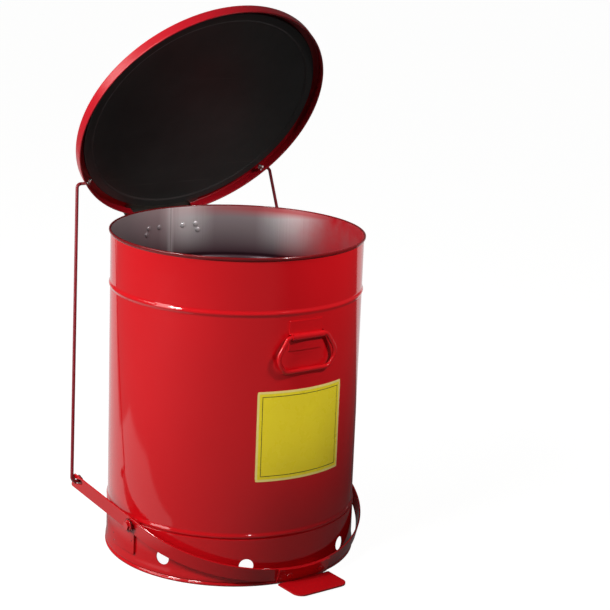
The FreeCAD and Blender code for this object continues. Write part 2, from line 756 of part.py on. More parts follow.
def pedal_plate():
    """The tread: a curved flange on the bow and a round-cornered foot plate, level when it is pressed."""
    back, middle = bow_centre()
    inner = middle + S.strap.number / 2 + S.fit_gap.number
    outer = inner + S.strap.number
    half, height = S.pedal_half.number, S.strap_half.number
    low = -height - S.flange_drop.number
    flange = Part.makeCylinder(outer, height - low, V(0, -back, low))
    flange = flange.cut(Part.makeCylinder(inner, height - low, V(0, -back, low)))
    flange = flange.common(Part.makeBox(2 * half, outer, height - low, V(-half, -back - outer, low)))
    for _, side in SIDES:
        flange = flange.cut(rivet_way(side, outer, back))
    flange.Placement = lever_placement()
    floor, front, rear = S.pedal_under.number, S.pedal_front.number, S.pedal_back.number
    corner = S.pedal_corner.number
    tread = Part.makeBox(2 * half, front - rear, S.strap.number, V(-half, -front, floor))
    standing = [e for e in tread.Edges if abs(e.tangentAt(e.FirstParameter).z) > 0.99
                and e.CenterOfMass.y < -front + 1]
    tread = tread.makeFillet(corner, standing)
    lever_space = Part.makeCylinder(inner, 8 * height, V(0, -back, -4 * height))
    lever_space.Placement = lever_placement()
    tread = tread.cut(lever_space)
    plate = flange.fuse(tread).removeSplitter()
    finished(solid("pedal", plate), "pedal_plate")


def pedal_rivets():
    """The two rivets of the pedal, with heads just clear of the curved strap and flange."""
    back, middle = bow_centre()
    thick, rise, clear = S.strap.number, S.rivet_rise.number, S.rivet_rise.number / 2
    rivets = []
    for i, (_, side) in enumerate(SIDES):
        x = side * S.pedal_rivet_x.number
        centre = V(x, -back - math.sqrt(middle**2 - x * x), 0)
        inner_face = centre + V(0, thick / 2 + clear, 0)
        outer_face = centre - V(0, thick * 1.5 + clear, 0)
        shank = Part.makeCylinder(S.rivet_radius.number, 3 * thick, centre + V(0, thick, 0), -Y_DIR)
        head_in = Part.makeCylinder(S.rivet_head.number, rise, inner_face, Y_DIR)
        head_out = Part.makeCylinder(S.rivet_head.number, rise, outer_face, -Y_DIR)
        rivet = shank.fuse(head_in).fuse(head_out).removeSplitter()
        item = solid(f"pedal_rivet_{i}", rivet)
        item.Placement = lever_placement()
        rivets.append(item)
    finished(grouped("pedal_rivet_set", rivets), "pedal_rivets")


def pivot_bracket(name, side):
    """A pad welded to the skirt with a stand-off boss that takes the pivot bolt."""
    facing = FRONT - side * (-S.bracket_front.number - S.bracket_sweep.number / 2)
    pad = sheet_arc(f"bracket_pad_{name}", S.skirt_radius + S.fit_gap, S.skirt_radius + S.bracket,
                    S.bracket_low, S.bracket_high, S.bracket_sweep / 2, facing)
    start = S.boss_back if side > 0 else -S.boss_face
    boss = cylinder(f"boss_{name}", S.boss_radius, S.boss_face - S.boss_back,
                    PIVOT + V(start.number, 0, 0), X_DIR)
    can_space = cylinder(f"boss_can_space_{name}", S.body_radius + S.bead_proud + S.fit_gap * 2,
                         S.lever_tail_z, V(0, 0, 0))
    over = 5.0
    tap_start = S.boss_back.number - over if side > 0 else -S.boss_face.number - over
    tap_length = S.boss_face - S.boss_back + 2 * over
    tap = cylinder(f"boss_tap_{name}", S.bolt_radius, tap_length, PIVOT + V(tap_start, 0, 0), X_DIR)
    whole = joined(f"bracket_whole_{name}", [pad, cut(f"boss_trimmed_{name}", boss, can_space)])
    finished(cut(f"bracket_tapped_{name}", whole, tap), f"pivot_bracket_{name}")


def pivot_fasteners(name, side):
    """The shoulder bolt that the lever turns on, and the washer under its head."""
    lap = 1.0
    inner = S.body_radius.number + S.bead_proud.number + lap
    washer_in = S.washer_face.number
    washer_out = washer_in + S.washer.number

    def span(low, high):
        return PIVOT + V(low if side > 0 else -high, 0, 0)

    washer = ring(f"pivot_washer_ring_{name}", S.boss_radius, S.bolt_radius, S.washer,
                  span(washer_in, washer_out))
    finished(washer, f"pivot_washer_{name}")
    head_start = washer_out + S.fit_gap.number
    shank_end = head_start + lap
    shank = cylinder(f"bolt_shank_{name}", S.bolt_radius, shank_end - inner, span(inner, shank_end), X_DIR)
    head = doc.addObject("Part::Prism", f"bolt_head_{name}")
    head.Polygon = 6
    bind(head, Circumradius=S.head_flats / math.sqrt(3), Height=S.head)
    head.Placement = FreeCAD.Placement(span(head_start, head_start + S.head.number),
                                       FreeCAD.Rotation(Z_DIR, X_DIR))
    finished(joined(f"bolt_whole_{name}", [shank, head]), f"pivot_bolt_{name}")


# ---------------------------------------------------------------------------------------------
# Carrying handle
# ---------------------------------------------------------------------------------------------


def handle_clip():
    """A curved plate on the can with a pressed channel that holds the handle's top bar."""
    half = math.degrees(math.asin(S.clip_half.number / S.body_radius.number))
    facing = FRONT + math.degrees(math.asin(S.handle_x.number / S.body_radius.number))
    plate = sheet_arc("clip_plate", S.body_radius + S.fit_gap, S.body_radius + S.clip, S.clip_low,
                      S.clip_high, half, facing)
    bar = V(S.handle_x.number, -S.bail_y.number, S.bail_z.number)
    length = S.clip_half * 2
    channel = cylinder("clip_channel", S.channel_radius, length, bar - V(S.clip_half.number, 0, 0), X_DIR)
    over = 5.0
    bore = cylinder("clip_bore", S.bail_radius + S.bail_play, length + 2 * over,
                    bar - V(S.clip_half.number + over, 0, 0), X_DIR)
    can_space = cylinder("clip_can_space", S.body_radius + S.fit_gap, S.rim_height, V(0, 0, 0))
    whole = joined("clip_whole", [plate, channel])
    finished(cut("clip_open", whole, joined("clip_tools", [bore, can_space])), "handle_clip")


def bail_handle():
    """A wire loop, open only where its two ends meet inside the clip."""
    y, top = -S.bail_y.number, S.bail_z.number
    ends_gap = 0.3
    corner_x, corner_r = 40.0, 9.0
    wide_x, wide_z, wide_r = 63.0, 414.0, 22.0
    low_x, low_z, low_r = 46.0, 389.0, 15.0
    half = [V(corner_x, y, top), V(wide_x, y, wide_z), V(low_x, y, low_z)]
    other = [mirrored(point) for point in reversed(half)]
    points = [V(ends_gap, y, top)] + half + other + [V(-ends_gap, y, top)]
    radii = [0, corner_r, wide_r, low_r, low_r, wide_r, corner_r, 0]
    bar = round_bar(bent_wire(points, radii), S.bail_radius.number)
    bar.translate(V(S.handle_x.number, 0, 0))
    finished(solid("bail", bar), "bail_handle")


# ---------------------------------------------------------------------------------------------
# Build, check, write
# ---------------------------------------------------------------------------------------------

can_shell()
bottom_pan()
base_skirt()
label_panel()
hinge_bracket()
hinge_rivets()
hinge_pin()
handle_clip()
bail_handle()
lid_shell()
lid_liner()
lid_hinge_leaf()
lid_rivets()
yoke_strap()
pedal_plate()
pedal_rivets()
for side_name, side_sign in SIDES:
    lift_rod(side_name, side_sign)
    rod_fasteners(side_name, side_sign)
    pivot_bracket(side_name, side_sign)
    pivot_fasteners(side_name, side_sign)

doc.recompute()

failed = [item.Label for item in doc.Objects if "Invalid" in item.State or "Error" in item.State]
assert not failed, f"failed: {failed}"
for item in parts:
    assert not item.Shape.isNull(), f"{item.Label} is empty"
    assert item.Shape.isValid(), f"{item.Label} is not valid"

for item in parts:
    item.Shape.exportStep(f"parts/{item.Label}.step")
    print(f"{item.Label:24s} solids {len(item.Shape.Solids)} volume {item.Shape.Volume / 1000:10.2f} cm3")
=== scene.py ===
"""The looks of a foot-operated round waste can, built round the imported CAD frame.

Metres, Z up, origin on the floor under the can's axis. The pedal is towards -Y and the lid hinge towards +Y.
Lid pieces are modelled shut and swung open; lever pieces are modelled level and laid over.
"""
import json
import math

import bmesh
import bpy
from mathutils import Matrix, Vector


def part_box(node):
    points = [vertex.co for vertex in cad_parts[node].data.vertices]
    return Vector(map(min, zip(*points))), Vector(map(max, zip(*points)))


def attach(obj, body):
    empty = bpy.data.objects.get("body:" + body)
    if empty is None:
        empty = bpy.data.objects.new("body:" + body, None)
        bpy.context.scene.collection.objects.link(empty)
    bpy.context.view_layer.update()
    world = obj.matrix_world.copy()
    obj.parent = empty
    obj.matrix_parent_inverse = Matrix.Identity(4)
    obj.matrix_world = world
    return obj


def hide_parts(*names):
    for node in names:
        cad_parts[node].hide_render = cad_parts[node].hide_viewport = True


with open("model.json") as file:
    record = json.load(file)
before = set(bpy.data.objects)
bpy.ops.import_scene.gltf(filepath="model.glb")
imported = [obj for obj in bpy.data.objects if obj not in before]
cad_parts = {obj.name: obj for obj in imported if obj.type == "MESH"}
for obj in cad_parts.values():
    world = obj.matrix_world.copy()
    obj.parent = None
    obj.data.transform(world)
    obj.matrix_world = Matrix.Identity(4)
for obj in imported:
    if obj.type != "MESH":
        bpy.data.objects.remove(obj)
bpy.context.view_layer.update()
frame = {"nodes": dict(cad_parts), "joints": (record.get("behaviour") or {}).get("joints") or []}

JOINTS = {joint["name"]: joint for joint in frame["joints"]}
MM = 0.001
SIDES = (("left", -1), ("right", 1))

# ---------------------------------------------------------------------------------------------
# Sizes, from the frame where it holds them
# ---------------------------------------------------------------------------------------------

GAUGE = 1.0 * MM
CAN_LOW, CAN_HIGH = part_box("can_shell")
CURL_R = CAN_HIGH.x
BODY_R = CURL_R - 3.1 * MM
RIM_Z = CAN_HIGH.z
SHELL_FOOT = CAN_LOW.z
BEADS = (92.0 * MM, 490.0 * MM)
BEAD_HALF, BEAD_PROUD = 5.0 * MM, 2.2 * MM

SKIRT_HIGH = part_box("base_skirt")[1]
FOOT_R, SKIRT_TOP = SKIRT_HIGH.x, SKIRT_HIGH.z
SKIRT_R = FOOT_R - 2.4 * MM

HINGE = Vector(JOINTS["lid_hinge"]["pos_m"])
OPEN_ANGLE = math.radians(JOINTS["lid_hinge"]["range_deg"][1])
OPENED = Matrix.Translation(HINGE) @ Matrix.Rotation(-OPEN_ANGLE, 4, "X") @ Matrix.Translation(-HINGE)

LID_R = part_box("lid_shell")[1].x
LID_EDGE, LID_TOP = 576.0 * MM, 596.0 * MM
LINER_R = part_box("lid_liner")[1].x

HOOK = Vector((0, *JOINTS["rod_left_hook"]["pos_m"][1:]))
PIVOT = Vector(JOINTS["lever_pivot"]["pos_m"])
TAIL = Vector((0, 96.0 * MM, 131.0 * MM))
ARM = TAIL - PIVOT
LEVER = Matrix.Translation(PIVOT) @ Matrix.Rotation(math.atan2(ARM.z, ARM.y), 4, "X")
ROD_R = 3.0 * MM
ROD_TOP_X, ROD_FOOT_X, HOOK_INNER_X, FOOT_INNER_X = 211.0 * MM, 280.0 * MM, 186.5 * MM, 260.4 * MM
STRAP, STRAP_HALF = 3.0 * MM, 13.6 * MM
SPLAY = math.radians(14.0)
LEVER_REACH, LEVER_HALF, TAIL_OVER = 209.0 * MM, 236.3 * MM, 7.5 * MM
# the slot that the rod's foot slides in, as (along, up) from the end of the arm
SLOT_ENDS, SLOT_R = ((-0.9 * MM, 1.2 * MM), (-12.3 * MM, 5.9 * MM)), 5.1 * MM
PEDAL_UNDER, FLANGE_DROP = 3.5 * MM, 2.5 * MM
PIVOT_WASHER_IN, PIVOT_WASHER = 240.7 * MM, 1.5 * MM

HANDLE_X, BAIL_Y, BAIL_Z, BAIL_R = -8.0 * MM, -231.2 * MM, 449.0 * MM, 3.8 * MM
LABEL_TURN = math.radians(-1.4)
VENT_ANGLES = (-64.875, -26.5, 26.5, 64.875, 141.625, 180.0, 218.375)


# ---------------------------------------------------------------------------------------------
# Materials
# ---------------------------------------------------------------------------------------------


class Finish:
    """A procedural material: a Principled shader and the nodes that drive it."""

    def __init__(self, name, **constants):
        self.material = bpy.data.materials.new(name)
        self.material.use_nodes = True
        self.tree = self.material.node_tree
        self.shader = self.tree.nodes["Principled BSDF"]
        self.place = self.node("ShaderNodeTexCoord").outputs["Object"]
        self.normal = None
        for socket, number in constants.items():
            self.shader.inputs[socket.replace("_", " ")].default_value = number

    def node(self, kind, inputs=(), **settings):
        made = self.tree.nodes.new(kind)
        for name, setting in settings.items():
            setattr(made, name, setting)
        for name, source in dict(inputs).items():
            if isinstance(source, bpy.types.NodeSocket):
                self.tree.links.new(source, made.inputs[name])
            else:
                made.inputs[name].default_value = source
        return made

    def set(self, socket, source):
        self.tree.links.new(source, self.shader.inputs[socket])

    def stretched(self, scale):
        return self.node("ShaderNodeMapping", {"Vector": self.place, "Scale": scale}).outputs["Vector"]

    def noise(self, scale, detail=3.0, rough=0.5, stretch=None, where=None):
        vector = where or (self.stretched(stretch) if stretch else self.place)
        inputs = {"Vector": vector, "Scale": scale, "Detail": detail, "Roughness": rough}
        return self.node("ShaderNodeTexNoise", inputs).outputs["Fac"]

    def math(self, operation, a, b=0.0, c=None, clamp=False):
        made = self.node("ShaderNodeMath", {0: a, 1: b}, operation=operation, use_clamp=clamp)
        if c is not None:
            made.inputs[2].default_value = c
        return made.outputs[0]

    def span(self, source, low, high, to_low, to_high):
        inputs = {"Value": source, "From Min": low, "From Max": high, "To Min": to_low, "To Max": to_high}
        return self.node("ShaderNodeMapRange", inputs).outputs["Result"]

    def blend(self, factor, first, second):
        """A colour between two; each is a colour or a socket."""
        mix = self.node("ShaderNodeMix", data_type="RGBA")
        for index, source in ((0, factor), (6, first), (7, second)):
            if isinstance(source, bpy.types.NodeSocket):
                self.tree.links.new(source, mix.inputs[index])
            else:
                mix.inputs[index].default_value = source
        return mix.outputs[2]

    def bump(self, height, distance, strength=1.0):
        inputs = {"Height": height, "Distance": distance, "Strength": strength}
        if self.normal:
            inputs["Normal"] = self.normal
        self.normal = self.node("ShaderNodeBump", inputs).outputs["Normal"]
        self.tree.links.new(self.normal, self.shader.inputs["Normal"])

    def axes(self):
        parts = self.node("ShaderNodeSeparateXYZ", {"Vector": self.place}).outputs
        return parts["X"], parts["Y"], parts["Z"]


def rgb(red, green, blue):
    return (red, green, blue, 1.0)


def enamel(name, deep, bright, gloss=(0.06, 0.13), peel=1.0):
    """Baked enamel over sheet steel: fine orange peel, slow waves in the sheet, faint wiping marks."""
    finish = Finish(name, Specular_IOR_Level=0.5, IOR=1.48)
    tone = finish.span(finish.noise(4.0, 2.0), 0.3, 0.7, 0.0, 1.0)
    colour = finish.blend(tone, deep, bright)
    specks = finish.span(finish.noise(900.0, 2.0), 0.72, 0.80, 0.0, 0.35)
    finish.set("Base Color", finish.blend(specks, colour, deep))
    wiped = finish.noise(14.0, 5.0, 0.65, stretch=(1.0, 1.0, 0.35))
    finish.set("Roughness", finish.span(wiped, 0.3, 0.75, *gloss))
    finish.bump(finish.noise(7.0, 1.0), 0.9 * MM, 0.35)
    finish.bump(finish.noise(420.0, 2.0), 0.03 * MM * peel, 0.6)
    return finish.material


def rolled_steel():
    """Bare mill-finish sheet inside the can: upright grain, a painted sheen in two bands, painted shade that
    deepens down the wall, paint blown over the rim.
    """
    finish = Finish("rolled_steel")
    x, y, z = finish.axes()
    turn = finish.math("ARCTAN2", y, x)
    unrolled = finish.node("ShaderNodeCombineXYZ", {"X": turn, "Y": z}).outputs["Vector"]
    grain_way = finish.node("ShaderNodeMapping", {"Vector": unrolled, "Scale": (90.0, 6.0, 1.0)})
    grain = finish.noise(1.0, 4.0, 0.6, where=grain_way.outputs["Vector"])
    smudge = finish.noise(7.0, 2.0, 0.5)
    light_steel, mid_steel = rgb(1.0, 0.97, 0.97), rgb(0.46, 0.39, 0.40)
    dark_seam_and_depth_shade = rgb(0.040, 0.014, 0.021)
    # painted sheen: two bright bands up the wall where the lamps catch it, as (middle, half width) in degrees
    bright = [finish.span(finish.math("ABSOLUTE", finish.math("ADD", turn, math.radians(-middle))),
                          0.0, math.radians(half), 1.0, 0.0) for middle, half in ((82, 15), (27, 20))]
    grained = finish.span(grain, 0.25, 0.65, 0.9, 1.25)
    painted_sheen = finish.math("MULTIPLY", finish.math("MAXIMUM", *bright), grained)
    grey = finish.blend(finish.math("MINIMUM", painted_sheen, 1.0), mid_steel, light_steel)
    # painted shade: the wall grows darker towards the bottom of the can
    depth = finish.math("POWER", finish.span(z, 494 * MM, 586 * MM, 1.0, 0.0), 0.8)
    grey = finish.blend(depth, grey, dark_seam_and_depth_shade)
    # the wall's welded seam, at the back
    off_seam = finish.math("ABSOLUTE", finish.math("ADD", turn, -math.pi / 2))
    seam = finish.span(off_seam, math.radians(0.1), math.radians(0.5), 0.40, 0.0)
    heated = finish.span(off_seam, math.radians(0.5), math.radians(2.2), 0.16, 0.0)
    grey = finish.blend(heated, grey, light_steel)
    grey = finish.blend(seam, grey, dark_seam_and_depth_shade)
    # overspray: strong on the +X side, thinning downwards and round the wall
    height = finish.span(z, RIM_Z - 260 * MM, RIM_Z - 10 * MM, 0.35, 1.0)
    side = finish.math("MULTIPLY", finish.span(turn, math.radians(38), math.radians(2), 0.0, 1.0),
                       finish.span(turn, math.radians(-70), math.radians(-40), 0.0, 1.0))
    cloudy = finish.span(finish.noise(18.0, 4.0, 0.6), 0.25, 0.75, 0.72, 1.12)
    blown = finish.math("MULTIPLY", finish.math("MULTIPLY", height, side), cloudy, clamp=True)
    lip = finish.span(z, RIM_Z - 24 * MM, RIM_Z - 8 * MM, 0.0, 0.85)
    lip_side = finish.span(x, -0.1 * BODY_R, 0.8 * BODY_R, 0.0, 1.0)
    edge = finish.math("MULTIPLY", lip, lip_side)
    spray = finish.math("MAXIMUM", blown, edge)
    finish.set("Base Color", finish.blend(spray, grey, rgb(0.52, 0.008, 0.016)))
    finish.set("Metallic", finish.span(spray, 0.0, 1.0, 0.3, 0.0))
    finish.set("Roughness", finish.span(smudge, 0.25, 0.75, 0.28, 0.40))
    finish.bump(grain, 0.02 * MM, 0.4)
    finish.bump(finish.noise(6.0, 1.0), 1.0 * MM, 0.35)
    return finish.material


def dull_steel(name, dim, bare, dirt):
    """Unpainted flat sheet, a little dirty: two tones of bare metal and a stain."""
    finish = Finish(name, Metallic=0.9)
    grain = finish.noise(1.0, 5.0, 0.7, stretch=(60.0, 900.0, 900.0))
    stain = finish.noise(24.0, 4.0, 0.65)
    base = finish.blend(finish.span(grain, 0.3, 0.7, 0.0, 1.0), dim, bare)
    finish.set("Base Color", finish.blend(finish.span(stain, 0.5, 0.8, 0.0, 0.6), base, dirt))
    finish.set("Roughness", finish.span(stain, 0.3, 0.7, 0.34, 0.52))
    finish.bump(grain, 0.03 * MM, 0.5)
    return finish.material


def zinc_plate():
    """Bright zinc on rod ends, rivets and bolts, with a faint mottled bloom."""
    finish = Finish("zinc_plate", Metallic=1.0)
    cells = finish.node("ShaderNodeTexVoronoi", {"Vector": finish.place, "Scale": 420.0}).outputs["Color"]
    bloom = finish.noise(160.0, 3.0)
    dim, bright, dark = rgb(0.62, 0.60, 0.57), rgb(0.78, 0.76, 0.74), rgb(0.55, 0.53, 0.50)
    tint = finish.blend(finish.span(bloom, 0.35, 0.7, 0.0, 1.0), dim, bright)
    finish.set("Base Color", finish.blend(finish.span(cells, 0.0, 1.0, 0.0, 0.12), tint, dark))
    finish.set("Roughness", finish.span(bloom, 0.3, 0.7, 0.24, 0.40))
    finish.bump(bloom, 0.02 * MM, 0.4)
    return finish.material


def satin_black():
    """Black baked coating inside the lid: satin, with handling smears and hairline scratches."""
    finish = Finish("satin_black", Specular_IOR_Level=0.45)
    cloud = finish.noise(5.0, 5.0, 0.6)
    deep, worn = rgb(0.034, 0.0355, 0.0345), rgb(0.058, 0.060, 0.058)
    tone = finish.blend(finish.span(cloud, 0.3, 0.7, 0.0, 1.0), deep, worn)
    turned = finish.node("ShaderNodeMapping", {"Vector": finish.place, "Rotation": (0.0, 0.0, 0.5),
                                               "Scale": (2.2, 120.0, 120.0)})
    hair = finish.noise(1.0, 2.0, 0.5, where=turned.outputs["Vector"])
    patch = finish.span(finish.noise(7.0, 2.0), 0.55, 0.68, 0.0, 1.0)
    scratch = finish.math("MULTIPLY", finish.span(hair, 0.66, 0.70, 0.0, 0.5), patch)
    finish.set("Base Color", finish.blend(scratch, tone, rgb(0.105, 0.105, 0.100)))
    smear = finish.noise(3.0, 6.0, 0.7, stretch=(1.0, 0.45, 1.0))
    finish.set("Roughness", finish.span(smear, 0.3, 0.75, 0.34, 0.56))
    finish.bump(finish.noise(600.0, 2.0), 0.02 * MM, 0.5)
    finish.bump(finish.noise(5.0, 1.0), 0.8 * MM, 0.3)
    return finish.material


def printed_label(low, high, half_width):
    """A blank vinyl panel: cream border, yellow field and one thin dark line set in from the edge.

    Distances are in millimetres across the unrolled label from its lower left corner.
    """
    finish = Finish("printed_label", Specular_IOR_Level=0.4)
    x, y, z = finish.axes()
    turn = finish.math("ARCTAN2", x, finish.math("MULTIPLY", y, -1.0))
    across = finish.math("MULTIPLY_ADD", turn, BODY_R / MM, (half_width - LABEL_TURN * BODY_R) / MM)
    up = finish.math("MULTIPLY_ADD", z, 1.0 / MM, -low / MM)
    wide, tall = 2 * half_width / MM, (high - low) / MM
    ink_edge = 0.25

    def inside(source, length, inset):
        rise = finish.span(source, inset - ink_edge, inset + ink_edge, 0.0, 1.0)
        fall = finish.span(source, length - inset - ink_edge, length - inset + ink_edge, 1.0, 0.0)
        return finish.math("MULTIPLY", rise, fall)

    def field(inset):
        """The part of the label that lies further than this from its edge."""
        return finish.math("MULTIPLY", inside(across, wide, inset), inside(up, tall, inset))

    border, line_inset, line_width = 4.0, 9.0, 1.2
    cream, yellow, dark = rgb(1.0, 0.82, 0.26), rgb(1.0, 0.80, 0.030), rgb(0.012, 0.010, 0.009)
    fade = finish.span(finish.noise(30.0, 3.0), 0.3, 0.7, 0.0, 0.25)
    faded = finish.blend(fade, yellow, rgb(0.94, 0.70, 0.02))
    line = finish.math("SUBTRACT", field(line_inset), field(line_inset + line_width), clamp=True)
    finish.set("Base Color", finish.blend(line, finish.blend(field(border), cream, faded), dark))
    finish.set("Roughness", finish.span(finish.noise(40.0, 4.0), 0.3, 0.7, 0.22, 0.36))
    finish.bump(finish.noise(300.0, 2.0), 0.02 * MM, 0.5)
    return finish.material


RED = enamel("red_enamel", rgb(0.60, 0.0045, 0.0085), rgb(0.66, 0.0055, 0.0105))
# a darker copy of the red enamel: painted shade on the rim curl, at the lever's slot and round the pivot
# bolts; also the dark red of small fittings and spot welds
DARK_RED_AND_PAINTED_SHADE = enamel("dark_enamel_and_painted_shade", rgb(0.16, 0.003, 0.005), rgb(0.22, 0.004, 0.006), gloss=(0.12, 0.26))
# a darker copy of the red enamel for the lid: painted shade
LID_RED_PAINTED_SHADE = enamel("lid_enamel_painted_shade", rgb(0.44, 0.005, 0.013), rgb(0.50, 0.006, 0.015), gloss=(0.26, 0.40))
ROD_RED = enamel("rod_enamel", rgb(0.22, 0.012, 0.02), rgb(0.30, 0.018, 0.028), gloss=(0.25, 0.42), peel=1.6)
STEEL = rolled_steel()
DULL = dull_steel("dull_steel", rgb(0.30, 0.29, 0.285), rgb(0.43, 0.415, 0.41), rgb(0.16, 0.15, 0.145))
# a darker copy of the dull steel: painted shade on the hinge, which sits under the lid
HINGE_STEEL_PAINTED_SHADE = dull_steel("hinge_steel_painted_shade", rgb(0.13, 0.12, 0.11), rgb(0.20, 0.185, 0.17), rgb(0.07, 0.064, 0.058))
ZINC = zinc_plate()
BLACK = satin_black()


# ---------------------------------------------------------------------------------------------
# Mesh tools
# ---------------------------------------------------------------------------------------------


def turned_arc(centre, radius, start, end, steps):
    """Points on an arc in the (radius, height) plane, angles in degrees."""
    angles = [math.radians(start + (end - start) * i / steps) for i in range(steps + 1)]
    return [(centre[0] + radius * math.cos(a), centre[1] + radius * math.sin(a)) for a in angles]


def even(start, end, steps):
    """Points on a straight run, without its last point."""
    return [(start[0] + (end[0] - start[0]) * i / steps, start[1] + (end[1] - start[1]) * i / steps)
            for i in range(steps)]


def lathe(section, angles, closed_turn=True):
    """Skin over a closed section of (radius, height) turned through angles, in degrees."""
    bm = bmesh.new()
    columns = []
    centre_points = {}
    for angle in angles:
        c, s = math.cos(math.radians(angle)), math.sin(math.radians(angle))
        column = []
        for index, (r, z) in enumerate(section):
            if r < 1e-9:
                if index not in centre_points:
                    centre_points[index] = bm.verts.new((0, 0, z))
                column.append(centre_points[index])
            else:
                column.append(bm.verts.new((r * c, r * s, z)))
        columns.append(column)
    count = len(section)
    turns = len(columns) if closed_turn else len(columns) - 1
    for i in range(turns):
        here, there = columns[i], columns[(i + 1) % len(columns)]
        for j in range(count):
            k = (j + 1) % count
            corners = [here[j], there[j], there[k], here[k]]
            unique = [v for n, v in enumerate(corners) if v not in corners[:n]]
            if len(unique) > 2:
                bm.faces.new(unique)
    if not closed_turn:
        bm.faces.new(columns[0])
        bm.faces.new(list(reversed(columns[-1])))
    return bm


def full_turn(steps):
    return [360.0 * i / steps for i in range(steps)]


def bent_path(points, radii, step=6.0):
    """A polyline with its corners rounded: points along straight runs and arcs of a few degrees a step."""
    path = [points[0]]
    for i in range(1, len(points) - 1):
        here = points[i]
        back = (points[i - 1] - here).normalized()
        ahead = (points[i + 1] - here).normalized()
        opening = back.angle(ahead)
        reach = radii[i] / math.tan(opening / 2)
        centre = here + (back + ahead).normalized() * (radii[i] / math.sin(opening / 2))
        start = here + back * reach - centre
        end = here + ahead * reach - centre
        turn = start.angle(end)
        steps = max(2, round(math.degrees(turn) / step))
        for n in range(steps + 1):
            share = n / steps
            mixed = start * math.sin((1 - share) * turn) + end * math.sin(share * turn)
            path.append(centre + mixed / math.sin(turn))
    path.append(points[-1])
    return path


def frames_along(path):
    """Direction and two side vectors at each point of a path, turned as little as possible."""
    ways = []
    for i in range(len(path)):
        before = path[max(i - 1, 0)]
        after = path[min(i + 1, len(path) - 1)]
        ways.append((after - before).normalized())
    side = ways[0].orthogonal().normalized()
    sides = []
    for way in ways:
        side = (side - way * side.dot(way)).normalized()
        sides.append((way, side, way.cross(side)))
    return sides


def skin(bm, rings, capped=True):
    """Faces between each closed ring of points and the next, with both ends filled."""
    for here, there in zip(rings, rings[1:]):
        for i in range(len(here)):
            k = (i + 1) % len(here)
            bm.faces.new((here[i], here[k], there[k], there[i]))
    if capped:
        bm.faces.new(list(reversed(rings[0])))
        bm.faces.new(rings[-1])


def rod(path, radius, around=24, tip=0.6 * MM):
    """A round bar along a path, with a small chamfer at each end."""
    bm = bmesh.new()
    sides = frames_along(path)
    stations = [(path[0], radius - tip, sides[0])]
    stations.append((path[0] + sides[0][0] * tip, radius, sides[0]))
    stations += [(point, radius, side) for point, side in list(zip(path, sides))[1:-1]]
    stations.append((path[-1] - sides[-1][0] * tip, radius, sides[-1]))
    stations.append((path[-1], radius - tip, sides[-1]))
    rings = []
    for centre, reach, (_, u, v) in stations:
        turn = [2 * math.pi * i / around for i in range(around)]
        rings.append([bm.verts.new(centre + (u * math.cos(a) + v * math.sin(a)) * reach) for a in turn])
    skin(bm, rings)
    return bm


def round_tool(centre, way, radius, half, around=48):
    """A closed round bar used to cut holes."""
    path = [centre - way * half, centre, centre + way * half]
    return rod(path, radius, around, tip=0.0)


def placed(name, data):
    """A new object in the scene, holding this mesh, light or camera."""
    item = bpy.data.objects.new(name, data)
    bpy.context.scene.collection.objects.link(item)
    return item


def piece(name, bm, materials, body, stands_for, crease=32.0):
    """A finished mesh object that rides on a body and stands for CAD nodes."""
    bmesh.ops.recalc_face_normals(bm, faces=bm.faces)
    mesh = bpy.data.meshes.new(name)
    bm.to_mesh(mesh)
    bm.free()
    mesh.shade_smooth()
    mesh.set_sharp_from_angle(angle=math.radians(crease))
    for material in materials:
        mesh.materials.append(material)
    item = placed(name, mesh)
    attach(item, body)
    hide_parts(*stands_for)
    return item


def merged(meshes):
    """One bmesh out of several."""
    whole = bmesh.new()
    for bm in meshes:
        scratch = bpy.data.meshes.new("scratch")
        bm.to_mesh(scratch)
        bm.free()
        whole.from_mesh(scratch)
        bpy.data.meshes.remove(scratch)
    return whole


def carved(bm, tool, operation="DIFFERENCE"):
    """The solid bm with the tool taken out of it, or joined to it."""
    objects = []
    for source in (bm, tool):
        bmesh.ops.recalc_face_normals(source, faces=source.faces)
        mesh = bpy.data.meshes.new("carving")
        source.to_mesh(mesh)
        source.free()
        objects.append(placed("carving", mesh))
    base, cutter = objects
    cutting = base.modifiers.new("cut", "BOOLEAN")
    cutting.operation = operation
    cutting.solver = "EXACT"
    cutting.object = cutter
    result = bpy.data.meshes.new_from_object(base.evaluated_get(bpy.context.evaluated_depsgraph_get()))
    carved_mesh = bmesh.new()
    carved_mesh.from_mesh(result)
    for item in objects:
        mesh = item.data
        bpy.data.objects.remove(item)
        bpy.data.meshes.remove(mesh)
    bpy.data.meshes.remove(result)
    return carved_mesh


def softened(item, width, segments=2, angle=40.0):
    """Real sheet and bar have no razor edges: a narrow bevel on every sharp edge."""
    bevel = item.modifiers.new("edges", "BEVEL")
    bevel.width = width
    bevel.segments = segments
    bevel.limit_method = "ANGLE"
    bevel.angle_limit = math.radians(angle)
    bevel.harden_normals = True
    bevel.use_clamp_overlap = True
    return item


def plate(outline, low, high, place=Matrix.Identity(4)):
    """A flat plate with an outline of (x, y) points."""
    bm = bmesh.new()
    bottom = [bm.verts.new(place @ Vector((x, y, low))) for x, y in outline]
    top = [bm.verts.new(place @ Vector((x, y, high))) for x, y in outline]
    skin(bm, [bottom, top])
    return bm


def dressed(node, material, edge=0.0):
    """A CAD node whose shape is right keeps it, and takes a better material and softened edges."""
    item = frame["nodes"][node]
    item.data.materials.clear()
    item.data.materials.append(material)
    if edge:
        softened(item, edge, 1, 50.0)
    return item


# ---------------------------------------------------------------------------------------------
# Can
# ---------------------------------------------------------------------------------------------

SEAM = math.degrees(math.acos(4 * MM / BODY_R))


